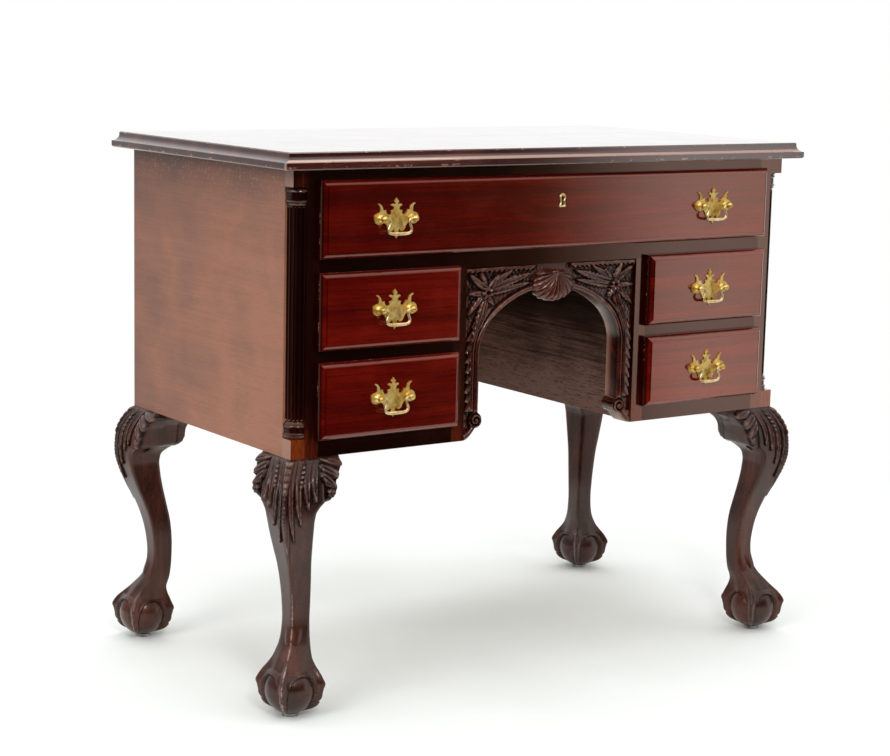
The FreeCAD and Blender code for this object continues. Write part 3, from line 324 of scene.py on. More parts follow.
def gridPiece(name, sheets, finish, body, replaced, field="wear"):
    # each sheet is a grid of places in mm; neighbours on it make quads, doubles merge and faces turn outwards
    places, quads, marks, start = [], [], [], 0
    for points, closed, mark in sheets:
        rows, columns = points.shape[:2]
        index = np.arange(rows * columns).reshape(rows, columns) + start
        if "u" in closed:
            index = np.concatenate([index, index[:1]], 0)
        if "v" in closed:
            index = np.concatenate([index, index[:, :1]], 1)
        corners = [index[:-1, :-1], index[1:, :-1], index[1:, 1:], index[:-1, 1:]]
        quads.append(np.stack(corners, -1).reshape(-1, 4))
        places.append(points.reshape(-1, 3))
        marks.append(np.broadcast_to(mark, (rows, columns)).reshape(-1))
        start += rows * columns
    places, quads, marks = np.concatenate(places) * mm, np.concatenate(quads), np.concatenate(marks)
    mesh = bpy.data.meshes.new(name)
    mesh.vertices.add(len(places))
    mesh.vertices.foreach_set("co", places.astype(np.float32).ravel())
    mesh.loops.add(quads.size)
    mesh.loops.foreach_set("vertex_index", quads.astype(np.int32).ravel())
    mesh.polygons.add(len(quads))
    mesh.polygons.foreach_set("loop_start", np.arange(len(quads), dtype=np.int32) * 4)
    mesh.update(calc_edges=True)
    mesh.attributes.new(field, "FLOAT", "POINT").data.foreach_set("value", marks.astype(np.float32))
    tidy = bmesh.new()
    tidy.from_mesh(mesh)
    bmesh.ops.remove_doubles(tidy, verts=tidy.verts, dist=meshTidy["merge"])
    bmesh.ops.recalc_face_normals(tidy, faces=tidy.faces)
    tidy.to_mesh(mesh)
    tidy.free()
    mesh.polygons.foreach_set("use_smooth", np.ones(len(mesh.polygons), bool))
    mesh.set_sharp_from_angle(angle=math.radians(meshTidy["sharp"]))
    return placePiece(name, mesh, finish, body, replaced)


def placePiece(name, mesh, finish, body, replaced):
    piece = bpy.data.objects.new(name, mesh)
    bpy.context.scene.collection.objects.link(piece)
    mesh.materials.append(finish)
    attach(piece, body)
    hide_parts(*replaced)
    return piece


caseSize = {"half": 435.0, "front": 231.5, "bottom": 358.5}


def atCorner(corner, inX, inY, z):
    # insets from the case's side and front turn into places at one of its four corners
    across, along = corner
    return np.stack([across * (caseSize["half"] - inX), along * (caseSize["front"] - inY), z + 0 * inX], -1)


corners = {"front_left": (-1, -1), "front_right": (1, -1), "back_left": (-1, 1), "back_right": (1, 1)}

legForm = {
    "around": 240,
    # height, then inset of the sawn outer and inner line from the case's face
    "outer": ((4, -11), (36, -14), (58, -18), (79, -6.7), (97, 5.8), (113, 10.8), (130, 12.8), (155, 11.9),
              (185, 7.2), (210, 0.2), (235, -9), (260, -17), (280, -21.4), (300, -22.4)),
    "inner": ((4, 29.5), (36, 33), (58, 38), (79, 38), (97, 41), (130, 42.8), (155, 42.9), (185, 40.9),
              (210, 37), (235, 33), (260, 30), (278, 29.5), (288, 32), (295, 38), (300, 43.6), (310, 44),
              (358.5, 44)),
    "kneeArc": 88.8, "kneeOut": 22.0, "kneeHeight": 300.0,
    # lowest and highest place of each run of rows, then its rows
    "runs": ((4, 118, 126), (118, 214, 50), (214, 358.5, 146)),
    # height, then how square the section is
    "square": ((4, 2.0), (60, 2.4), (97, 6.0), (150, 8.5), (250, 10.0), (300, 14.0), (358.5, 24.0)),
    "footAxis": 9.3, "ballRadius": 35.6, "ballHeight": 38.4, "web": 3.0, "footTop": 66, "toeTop": 78,
    "hem": (18, 42, 2.7),  # lowest place of the web's hem between two toes, its rise and how round it is
    "ankle": (82, 42),  # where the foot begins to turn into the shank, and over what height
    "tenon": (31, 8.0, 16.0),  # inset of the tenon's middle, its half width and its height
    # height, then how sharply a toe stands out from the web
    "spread": ((4, 6.0), (58, 5.0), (72, 3.2), (92, 2.4), (130, 2.0)),
    # height, then reach of a toe's ridge from the leg's middle line
    "toeReach": ((4, 10), (8, 21), (11, 30), (14, 35.6), (20, 40.6), (22.5, 41.0), (25, 43.2), (36, 46.2),
                 (43, 48.2), (46, 49.4), (48, 49.3), (55, 45.8), (62, 41.2), (70, 34.6), (79, 28.4), (88, 24.9),
                 (97, 22.3), (108, 20.5), (118, 19.65), (130, 19.4)),
    "toeWidth": ((4, 2.2), (12, 3.2), (21, 4.4), (24, 5.0), (34, 5.2), (44, 5.8), (55, 5.2), (66, 5.0),
                 (90, 4.0)),
}
kneeForm = {  # places on the knee: distance from the leg's edge along its face, then height
    "lowest": 214, "topFade": 3,
    # height, then half width of the middle leaf
    "leaf": ((226, 0), (234, 2.0), (248, 5), (262, 7.5), (280, 8.0), (310, 7.5), (358.5, 8)),
    # strands: distance at the top and at the tip, tip's height, half width
    "strands": ((9.5, 12.5, 246, 4.3), (19.5, 24.5, 270, 5.3), (30.5, 37.5, 292, 5.5), (41.0, 48.5, 301, 5.2)),
    # rolled lobes of the ear: root, tip, half width and rise
    "lobes": (((45, 359), (86, 347), 6.2, 4.6), ((47, 350), (86, 331), 6.6, 5.0),
              ((51, 340), (81, 318), 6.2, 5.2)),
    "husks": (316, 8.4, 4.2),  # lowest place, spacing and rise
    # rows of beads: distance, lowest and highest place, spacing and radius
    "spine": (0, 252, 316, 5.6, 2.4), "pearls": (24, 322, 354, 6.0, 2.8),
    "volute": (75, 313, 7.5),  # middle and radius
}


def outerLine(z):
    # sawn outer line; above the knee it is an arc that runs back to the case's face
    radius, knee = legForm["kneeArc"], legForm["kneeHeight"]
    arc = radius - legForm["kneeOut"] - np.sqrt(np.clip(radius ** 2 - (z - knee) ** 2, 0, None))
    return np.where(z > knee, arc, smoothLine(z, legForm["outer"]))


def lobeRise(x, z, root, tip, width, rise, teeth=0.0, blunt=0.75):
    # leaf lobe: rounded across its line from root to tip, wider towards the tip the blunter it is, grooved down
    # the middle, with its edge nicked every few millimetres where it has teeth
    step = np.array(tip, float) - np.array(root, float)
    length = np.hypot(*step)
    step = step / length
    along = ((x - root[0]) * step[0] + (z - root[1]) * step[1]) / length
    aside = (z - root[1]) * step[0] - (x - root[0]) * step[1]
    wide = width * np.sin(np.pi * np.clip(along, 0.001, 0.999) ** blunt) ** 0.6 + 1e-6
    if teeth:
        wide = wide * (1 - 0.32 * ((along * length - np.abs(aside) * 0.8) / teeth % 1.0))
    dome = np.sqrt(np.clip(1 - (aside / wide) ** 2, 0, None)) * (along > 0) * (along < 1)
    vein = 0.35 * np.exp(-(aside / (0.16 * width)) ** 2) * (dome > 0)
    return rise * (dome * (0.75 + 0.25 * along) - vein * np.clip(1.2 - along, 0, 1))


def strandRise(edge, z, top, bottom, tip, half):
    # strand of a leaf: it runs down from the case, flat at first and then prouder, with a raised rim along both
    # edges, and narrows over its lower half to a blunt point; fine grooves run down its flat part
    along = np.clip((caseSize["bottom"] - z) / (caseSize["bottom"] - tip), 0, 1)
    aside = edge - (top + (bottom - top) * along ** 1.5)
    narrow = np.clip((along - 0.55) / 0.45, 0, 1) ** 1.8
    wide = half * (1 - 0.12 * along) * np.clip(1 - narrow, 0.001, None)
    dome = np.clip(1 - (aside / wide) ** 2, 0, None) ** (0.22 + 0.2 * along) * (along < 1)
    rim = np.exp(-((np.abs(aside) - 0.62 * wide) / 0.9) ** 2) * np.clip(along * 3 - 0.3, 0, 1)
    grooves = 0.3 * (dome > 0.1) * (1 - along) * np.cos(edge * 2.6)
    return dome * (1.6 + 1.9 * along) * (0.72 + 0.5 * rim) + grooves


def beadRow(edge, z, at, low, high, step, size):
    # row of beads, half round each, 0 to 1
    off = (z - low) % step - step / 2
    bead = np.sqrt(np.clip(1 - ((edge - at) ** 2 + off ** 2) / size ** 2, 0, None))
    return bead * (z > low) * (z < high)


def kneeRelief(edge, z):
    # acanthus knee: a tapering middle leaf with stacked husks and beads on its spine, strands beside it, a row
    # of pearls, and an ear of rolled lobes that ends in a small volute
    reach = smoothLine(z, kneeForm["leaf"])
    inside = np.clip(1 - (edge / np.maximum(reach, 0.01)) ** 2, 0, None)
    leaf = 2.2 * inside ** 0.4 - 0.8 * (inside > 0) * np.exp(-((edge - reach * 0.55) / 0.9) ** 2) * (z < 318)
    for strand in kneeForm["strands"]:
        leaf = np.maximum(leaf, strandRise(edge, z, *strand))
    for lobe in kneeForm["lobes"]:
        leaf = np.maximum(leaf, lobeRise(edge, z, *lobe, blunt=1.1))
    low, spacing, rise = kneeForm["husks"]
    wide = np.clip(4.2 + (z - low) * 0.12, 3.0, 9.0)
    cell = 1 - np.abs(2 * (((z - low) / spacing) % 1.0) - 1) ** 4
    husk = np.clip(1 - (edge / wide) ** 2, 0, None) ** 0.5 * (0.6 + 0.4 * cell)
    leaf = np.maximum(leaf, (z > low) * rise * husk)
    spine = beadRow(edge, z, *kneeForm["spine"])
    leaf = np.maximum(leaf, 2.0 * (spine > 0) + 0.8 * spine)
    leaf = np.maximum(leaf, 4.6 * beadRow(edge, z, *kneeForm["pearls"]))
    curlAt, curlHeight, curlRadius = kneeForm["volute"]
    curl = np.hypot(edge - curlAt, z - curlHeight)
    volute = np.clip(1 - (curl / curlRadius) ** 2, 0, None) ** 0.5 * 5.4
    volute = volute - 1.4 * np.exp(-((curl - 4.2) / 0.9) ** 2)
    return np.maximum(leaf, np.where(curl < curlRadius, np.clip(volute, 0.6, None), 0))


def carveLeg(name, corner):
    # cabriole leg: distance from a bent middle line, over turn and height. The section is a rounded square that
    # swells at the knee. In the foot it is a star whose four points are the toes; below the hem between two
    # toes the ball shows, and the toes run on as narrow ridges. The knee's leaf is added on top
    runs = [np.linspace(*run) for run in legForm["runs"]]
    z = np.concatenate([runs[0]] + [run[1:] for run in runs[1:]])[:, None]
    turn = np.linspace(-np.pi, np.pi, legForm["around"], endpoint=False)[None, :]
    way = turn + np.radians(225)
    cosWay, sinWay = np.cos(way), np.sin(way)
    outer, inner = outerLine(z), smoothLine(z, legForm["inner"])
    middle, half = (outer + inner) / 2, (inner - outer) / 2
    power = smoothLine(z, legForm["square"])
    shank = half / (np.abs(cosWay) ** power + np.abs(sinWay) ** power) ** (1 / power)
    aside = (legForm["footAxis"] - middle) * (cosWay + sinWay)
    apart = 2 * (legForm["footAxis"] - middle) ** 2
    ballAt = np.sqrt(np.clip(legForm["ballRadius"] ** 2 - (z - legForm["ballHeight"]) ** 2, 0, None))
    ball = aside + np.sqrt(np.clip(ballAt ** 2 - apart + aside ** 2, 0.01, None))
    off = np.abs((turn + np.pi / 4) % (np.pi / 2) - np.pi / 4)  # turn from the nearest toe
    reach = smoothLine(z, legForm["toeReach"])
    face = np.maximum(half, (ball + legForm["web"]) * (z < legForm["footTop"]))
    spread = smoothLine(z, legForm["spread"])
    star = face + np.clip(reach - face, 0, None) * (1 - off / (np.pi / 4)) ** spread
    aroundToe = np.clip((np.pi / 4 - off) / (np.pi / 4 - 0.13), 0, 1)
    hemLow, hemRise, hemRound = legForm["hem"]
    hem = hemLow + hemRise * np.clip(1 - aroundToe ** hemRound, 0, None) ** (1 / hemRound)
    covered = np.clip((z - hem) / 1.3, 0, 1)
    lip = 0.8 * np.exp(-((z - hem - 1.8) / 1.5) ** 2) * (z < legForm["footTop"])
    foot = ball + (np.maximum(star, ball) + lip - ball) * covered
    across = reach * np.sin(off)
    ridge = np.clip(1 - (across / smoothLine(z, legForm["toeWidth"])) ** 2, 0, None) ** 0.45
    foot = np.maximum(foot, ball + (reach - ball) * ridge * (z < legForm["toeTop"]))
    ankle, ankleTall = legForm["ankle"]
    toShank = np.clip((z - ankle) / ankleTall, 0, 1)
    toShank = toShank * toShank * (3 - 2 * toShank)
    radius = foot * (1 - toShank) + shank * toShank
    edge = np.abs(radius * cosWay - radius * sinWay)
    outward = np.abs(turn) < np.radians(125)
    underCase = np.clip((caseSize["bottom"] - z) / kneeForm["topFade"], 0, 1)
    carved = kneeRelief(edge, z) * outward * (z > kneeForm["lowest"]) * underCase
    frontRidge = np.exp(-(edge / 1.4) ** 2) * (np.abs(turn) < 0.6)
    worn = frontRidge * np.clip((185 - z) / 40, 0, 1) * patchy(z, 9 * turn, 7)
    radius = radius + carved
    inX, inY = middle + radius * cosWay, middle + radius * sinWay
    sole = 0 * turn + middle[0]
    rows = [atCorner(corner, sole, sole, z[0]), atCorner(corner, inX, inY, z)]
    inset, tenonHalf, tall = legForm["tenon"]
    for side, height in ((tenonHalf, 0.0), (tenonHalf, tall), (0.0, tall)):  # it enters the case above the leg
        reachOut = side / np.maximum(np.abs(cosWay), np.abs(sinWay))
        rows.append(atCorner(corner, inset + reachOut * cosWay, inset + reachOut * sinWay,
                             caseSize["bottom"] + height))
    # painted shade: a dark line along the crease under the hem of the web between two toes
    hemCreaseShade = np.clip(1 - np.abs(z - hem + 0.6) / 1.6, 0, 1) * (z < 64) * (ridge < 0.05)
    worn = np.where(worn > 0.15, worn, carvedMarks(carved, 4, patchy(edge, z, 6)) - hemCreaseShade)
    worn = np.concatenate([worn[:1] * 0, worn] + [worn[:1] * 0] * 3, 0)
    gridPiece("carved_" + name, [(np.concatenate(rows, 0), "v", worn * 0.9)], legWood, "carcase",
              [name])


for legName, corner in corners.items():
    carveLeg("leg_" + legName, corner)
print("legs carved")

bracketForm = {
    "span": (42.5, 77, 48),  # insets along the case's edge where the ear begins and ends, and its steps
    "faceRows": 64, "earDepth": 14.0,
    # inset along the case's edge, then height of the hem of the ear and of the block
    "ear": ((40, 300), (48, 301), (54, 304), (58, 311), (61, 321), (65, 331), (71, 339), (77, 347)),
    "block": ((42, 300), (47, 300.6), (51, 303), (54, 307.5), (56, 314), (57, 326), (60, 334), (65, 340),
              (70, 345)),
    "blockSteps": (42, 45, 47, 49, 51, 52.5, 54, 55, 56, 56.5, 57, 58.5, 60, 62, 64, 66, 68, 69.5, 70),
    # depth of the block behind the case's face, then height
    "cove": ((47, 300.6), (51, 303), (54, 307.5), (56, 314), (57, 326), (60, 334), (65, 340), (70, 345),
             (71, 350), (71, 358.5)),
}


def carveBrackets():
    # knee bracket: a section in depth and height, carried along the case's edge. The ear's face follows the
    # knee's arc, takes on the same leaf and rises towards its end; a plain coved block stands behind it
    top, sheets = caseSize["bottom"], []
    along = np.linspace(*bracketForm["span"])[:, None]
    hem = smoothLine(along, bracketForm["ear"])
    z = top + (hem - top) * np.linspace(0, 1, bracketForm["faceRows"])[None, :]
    out = outerLine(z)
    underCase = np.clip((top - z) / kneeForm["topFade"], 0, 1)
    relief = kneeRelief(along - out, z) * underCase * np.clip((z - hem) / 2.5, 0.2, 1)
    roundOff = 3.0 * np.clip(1 - (z - hem) / 5, 0, 1) ** 2 + 3.0 * np.clip((along - 72) / 5, 0, 1) ** 2
    depth = out - relief + roundOff
    marks = carvedMarks(relief, 4, patchy(along, z, 6))
    under = np.linspace(0, 1, 6)[None, 1:]
    rise = hem + (top - hem) * np.linspace(0, 1, 8)[None, 1:]
    depth = np.concatenate([depth, depth[:, -1:] + (bracketForm["earDepth"] - depth[:, -1:]) * under,
                            bracketForm["earDepth"] + 0 * rise], 1)
    z = np.concatenate([z, hem + 0 * under, rise], 1)
    marks = np.concatenate([marks, 0 * depth[:, marks.shape[1]:]], 1)
    marks = np.concatenate([marks[:1], marks, marks[-1:]], 0)
    ear = depth, along + 0 * depth, z
    along = np.array(bracketForm["blockSteps"])[:, None]
    hem = np.interp(along, *np.array(bracketForm["block"]).T)
    high, low = outerLine(0 * along + top - 1), outerLine(hem)
    coveDepth, coveHeight = np.array(bracketForm["cove"]).T[:, None]
    depth = np.concatenate([high + 3, low + 5, low + 7, 0 * low + coveDepth[:, :1] - 2, coveDepth + 0 * low], 1)
    z = np.concatenate([0 * hem + top, hem + 2, hem, hem, np.maximum(coveHeight, hem + 2)], 1)
    block = depth, along + 0 * depth, z
    for parts, mark in ((ear, marks), (block, 0.0)):
        ends = [np.repeat(a[[0, -1]].mean(1, keepdims=True), a.shape[1], 1) for a in parts]
        depth, along, z = (np.concatenate([e[:1], a, e[1:]], 0) for e, a in zip(ends, parts))
        for corner in corners.values():
            sheets.append((atCorner(corner, depth, along, z), "v", mark))
            sheets.append((atCorner(corner, along, depth, z), "v", mark))
    gridPiece("carved_knee_brackets", sheets, legWood, "carcase", ["knee_brackets"])


carveBrackets()
print("knee brackets carved")

archForm = {
    # kneehole: half width, height where its side bends in, and the arcs of the side and the crown, which join
    "half": 126.0, "spring": 478.0, "sideRadius": 72.0, "crownRadius": 156.5, "crownMiddle": 413.0,
    "joinX": 100.0, "joinZ": 533.4,
    "foot": (148.5, 18.0, 16.0),  # place of its outer end, its width and its height
    "scroll": (130.5, 385.5), "scrollRadius": 11.0, "scrollEye": 2.4,
    "scrollSpan": (375, 396), "jambSpan": (398, 475),  # heights
    "panelHalf": 152.5, "top": 603.67, "bottom": 358.5, "back": 201.5, "ground": 225.5,
    # steps along each part of the edge, and across the panel
    "footSteps": 14, "scrollSteps": 26, "jambSteps": 60, "sideSteps": 56, "crownSteps": 80, "across": 76,
    # carving, by distance from the kneehole's edge
    "bead": (4.2, 6.0),  # half width and rise
    "stem": (12.2, 3.4, 5.4),  # distance, half width and rise
    "blade": (14, 24.6, 4.8),  # nearest and farthest place, and rise
    "jambLeaf": (399, 536, 546),  # lowest place, highest of the blade and of the stem
    "tooth": 14.0, "rose": (115.5, 566.7), "border": (598.6, 602.6, 8.5, 4.2),  # low, high, tooth and rise
}
# leaves that part from a rosette: root, tip, half width, rise and spacing of the teeth on the edge
roseLeaves = (
    ((113, 569), (147, 594), 6.0, 7.0, 0.0), ((112, 566), (149, 566), 5.0, 6.0, 0.0),
    ((114, 566), (127, 599), 5.0, 6.0, 0.0), ((117, 566), (104, 548), 4.6, 6.0, 0.0),
    ((110, 571), (41, 591), 8.5, 7.0, 8.0), ((110, 565), (42, 578), 6.5, 6.4, 7.0),
    ((112, 575), (72, 597), 5.5, 5.6, 0.0), ((116, 566), (95, 592), 5.0, 5.6, 0.0),
    ((117, 562), (141, 497), 7.0, 7.0, 9.0), ((114, 562), (126, 515), 5.0, 6.0, 0.0),
    ((118, 566), (149, 536), 5.6, 6.2, 8.0),
)


def archEdges():
    # edge of the kneehole from its left foot to its right one, and the panel's outer edge that faces it
    form = archForm
    scrollX, scrollZ = form["scroll"]
    footX, footWide, footTall = form["foot"]
    toe = np.linspace(0, 1, form["footSteps"])
    foot = np.stack([footWide * toe - footX, form["bottom"] + footTall * toe ** 1.6], 1)
    roll = np.radians(np.linspace(-86, 64, form["scrollSteps"]))
    curl = np.stack([form["scrollRadius"] * np.cos(roll) - scrollX,
                     form["scrollRadius"] * np.sin(roll) + scrollZ], 1)
    climb = np.linspace(*form["jambSpan"], form["jambSteps"])
    jamb = np.stack([0 * climb - form["half"], climb], 1)
    sideMiddle = form["half"] - form["sideRadius"]
    bend = np.linspace(0, math.atan2(form["joinZ"] - form["spring"], form["joinX"] - sideMiddle),
                       form["sideSteps"])
    side = np.stack([-sideMiddle - form["sideRadius"] * np.cos(bend),
                     form["spring"] + form["sideRadius"] * np.sin(bend)], 1)
    sweep = np.linspace(math.atan2(form["joinX"], form["joinZ"] - form["crownMiddle"]), 0,
                        form["crownSteps"])[1:]
    crown = np.stack([-form["crownRadius"] * np.sin(sweep),
                      form["crownMiddle"] + form["crownRadius"] * np.cos(sweep)], 1)
    inner = np.concatenate([foot, curl, jamb, side, crown])
    upright = np.concatenate([np.linspace(form["bottom"], form["bottom"] + footTall, form["footSteps"]),
                              np.linspace(*form["scrollSpan"], form["scrollSteps"]), climb,
                              np.linspace(form["spring"], form["top"], form["sideSteps"])])
    overCrown = np.linspace(-form["panelHalf"], 0, form["crownSteps"])[1:]
    outer = np.concatenate([np.stack([0 * upright - form["panelHalf"], upright], 1),
                            np.stack([overCrown, 0 * overCrown + form["top"]], 1)])
    flip = np.array([-1.0, 1.0])
    return np.concatenate([inner, inner[-2::-1] * flip]), np.concatenate([outer, outer[-2::-1] * flip])


def archRelief(x, z, inner):
    # carved ground: a bead along the kneehole, a stem and a toothed leaf beside it on the jambs, a rosette with
    # leaves on each side, a scroll at each foot and a toothed border at the top
    gapX, gapZ = x[..., None] - inner[:, 0], z[..., None] - inner[:, 1]
    gap = np.sqrt((gapX ** 2 + gapZ ** 2).min(-1))
    nearest = (gapX ** 2 + gapZ ** 2).argmin(-1)
    walked = np.concatenate([[0], np.cumsum(np.hypot(*np.diff(inner, axis=0).T))])
    along = walked[nearest]
    along = np.minimum(along, walked[-1] - along)
    side = np.abs(x)
    beadHalf, beadTall = archForm["bead"]
    relief = beadTall * np.sqrt(np.clip(1 - ((gap - beadHalf) / beadHalf) ** 2, 0, None))
    leafLow, bladeTop, stemTop = archForm["jambLeaf"]
    onJamb = (z > leafLow) * np.clip((stemTop - z) / 14, 0, 1)
    stemAt, stemHalf, stemTall = archForm["stem"]
    stem = stemTall * np.sqrt(np.clip(1 - ((gap - stemAt) / stemHalf) ** 2, 0, None)) * onJamb
    near, far, bladeTall = archForm["blade"]
    tooth = (along / archForm["tooth"]) % 1.0
    onBlade = (gap > near) * (gap < far - 5.5 * tooth)
    blade = onBlade * (bladeTall - 0.16 * (gap - near)) * onJamb * (z < bladeTop)
    vein = (along + gap * 0.9) / archForm["tooth"] % 1.0 - 0.5
    blade = blade - 1.2 * (blade > 0) * np.exp(-(vein / 0.09) ** 2)
    relief = np.maximum(relief, np.maximum(stem, blade))
    roseX, roseZ = archForm["rose"]
    roseGap, roseTurn = np.hypot(side - roseX, z - roseZ), np.arctan2(z - roseZ, side - roseX)
    for root, tip, width, rise, teeth in roseLeaves:
        leaf = lobeRise(side, z, root, tip, width, rise, teeth) * (gap > 8.6) * (side > 36)
        relief = np.maximum(relief, leaf)
    petal = np.abs(np.cos(roseTurn * 3.5 + 0.3))
    rose = (roseGap < 5 + 5 * petal) * (5.6 + 2.6 * petal * np.sin(np.pi * np.clip(roseGap / 11, 0, 1)))
    relief = np.maximum(relief, rose)
    relief = np.where(roseGap < 3.0, 0.8, relief)
    low, high, tooth, rise = archForm["border"]
    border = (z > low - 4.6 * ((side / tooth) % 1.0)) * (z < high) * rise * (side > 32)
    relief = np.maximum(relief, border)
    scrollX, scrollZ = archForm["scroll"]
    radius = archForm["scrollRadius"]
    curl = np.hypot(side - scrollX, z - scrollZ)
    spiral = np.cos(curl * 1.15 - np.arctan2(z - scrollZ, side - scrollX))
    wound = 3.6 + 2.4 * np.clip(spiral * 1.6, -1, 1) * np.clip((radius - curl) / 1.5, 0, 1)
    relief = np.where(curl < radius, wound, relief)
    relief = np.where(curl < archForm["scrollEye"], beadTall, relief)
    relief = relief + 0.25 * (relief < 0.3) * patchy(x, z, 2.2)
    rim = np.minimum(archForm["panelHalf"] - side, archForm["top"] - z)
    return relief * np.clip(rim / 1.5, 0, 1)


def carveArch():
    # carved panel: straight spokes run from the kneehole's edge to the panel's edge, and the carving's height
    # over each place is what stands out from the ground; a flat back closes it
    inner, outer = archEdges()
    share = np.linspace(0, 1, archForm["across"])[None, :, None] ** 1.12
    face = inner[:, None] + (outer - inner)[:, None] * share
    x, z = face[..., 0], face[..., 1]
    relief = archRelief(x, z, inner)
    front = np.stack([x, -(archForm["ground"] + relief), z], -1)
    rear = front[:, [-1, 0]].copy()
    rear[..., 1] = -archForm["back"]
    points = np.concatenate([front, rear], 1)
    ends = np.repeat(points[[0, -1]].mean(1, keepdims=True), points.shape[1], 1)
    points = np.concatenate([ends[:1], points, ends[1:]], 0)
    worn = carvedMarks(relief, 4, patchy(x, z, 9))
    chipped = (x > 124) & (z < 376) & (relief < 5)
    worn = np.where(chipped, patchy(x, z, 5) ** 0.5, worn)
    # painted reflection: the underside of the arch is paler towards its back edge
    soffit = 1.0 * (z[:, :1] > archForm["scrollSpan"][1])
    worn = np.concatenate([worn, 0 * soffit, soffit], 1)
    worn = np.concatenate([worn[:1] * 0, worn, worn[:1] * 0], 0)
    gridPiece("carved_arch", [(points, "v", worn)], carvedWood, "carcase", ["kneehole_arch"])


carveArch()
print("arch carved")

columnForm = {
    "middle": (413.5, 210.0), "radius": 18.0, "shaft": (407.0, 699.0), "around": 121,
    "flutes": 5, "fluteHalf": 2.15, "fluteDeep": 2.1, "fluteInset": 2,
    "endZone": 6, "endSteps": 13, "shaftSteps": 8,  # closer rows near both ends, where the flutes are round
    # height, then radius of the rings at the base and at the capital
    "base": ((385, 21.2), (387, 21.2), (387.8, 20.4), (389.5, 21.0), (391.5, 21.2), (392.6, 20.2),
             (393, 19.5), (400, 19.4), (400.8, 20.4), (402.2, 21.0), (403.6, 20.4), (404.4, 19.5),
             (405.4, 19.9), (406.4, 19.4), (407, 18.2)),
    "capital": ((699, 18.2), (700, 19.6), (701, 19.9), (701.8, 19.2), (702.6, 19.6), (703.4, 20.6),
                (704.6, 21.0), (705.8, 20.3), (706.4, 19.4), (715.6, 19.5), (716.2, 20.4), (717.2, 21.2),
                (718.6, 20.9), (719.6, 19.9), (720.4, 20.2), (721.2, 21.2), (723, 21.2)),
}


def turnColumn(name, sign):
    # quarter column: a turned profile over a quarter turn, with flutes sunk into its shaft as round hollows
    # that end in half rounds, closed along the middle line
    form = columnForm
    low, high = form["shaft"]
    zone = np.linspace(0, form["endZone"], form["endSteps"])[1:]
    between = np.linspace(form["endZone"], high - low - form["endZone"], form["shaftSteps"])[1:]
    shaft = np.concatenate([low + zone, low + between, high - zone[-2::-1]])
    (baseZ, baseRadius), (capitalZ, capitalRadius) = (np.array(form[k]).T for k in ("base", "capital"))
    z = np.concatenate([baseZ, shaft, capitalZ])[:, None]
    radius = np.concatenate([baseRadius, np.full(len(shaft), form["radius"]), capitalRadius])[:, None]
    turn = np.linspace(0, np.pi / 2, form["around"])[None, :]
    step = np.pi / 2 / form["flutes"]
    off = ((turn % step) - step / 2) * form["radius"]
    wide, inset = form["fluteHalf"], form["fluteInset"]
    past = np.clip(low + inset + wide - z, 0, None) + np.clip(z - high + inset + wide, 0, None)
    flute = np.sqrt(np.clip(1 - (off ** 2 + past ** 2) / wide ** 2, 0, None))
    radius = radius - form["fluteDeep"] * flute * (z > low) * (z < high)
    middleX, middleY = form["middle"]
    quarter = np.stack([sign * (middleX + radius * np.cos(turn)), -(middleY + radius * np.sin(turn)),
                        z + 0 * turn], -1)
    core = np.stack([0 * z + sign * middleX, 0 * z - middleY, z], -1)
    points = np.concatenate([quarter, core], 1)
    caps = [np.repeat(core[[k]], points.shape[1], 1) for k in (0, -1)]
    plain = (z < low - 1) | (z > high + 1)
    # painted shade darkens the flutes; the plain rings of the base and the capital are darker too
    marks = np.concatenate([-0.8 * flute - 0.55 * plain, 0 * z], 1)
    marks = np.concatenate([0 * marks[:1], marks, 0 * marks[:1]], 0)
    points = np.concatenate([caps[0], points, caps[1]], 0)
    gridPiece("turned_" + name, [(points, "v", marks)], postWood, "carcase", [name])


turnColumn("quarter_column_left", -1)
turnColumn("quarter_column_right", 1)
print("columns turned")

shellForm = {"hinge": 590.5, "half": 38.0, "drop": 17.5, "tall": 24.3, "fan": 3.46, "ribs": 13, "rise": 18.4,
             "ground": 225.5, "around": 242, "rings": 56, "valley": 3.0,
             "button": (8.0, 6.0, 4.2)}  # half of its width, depth and height


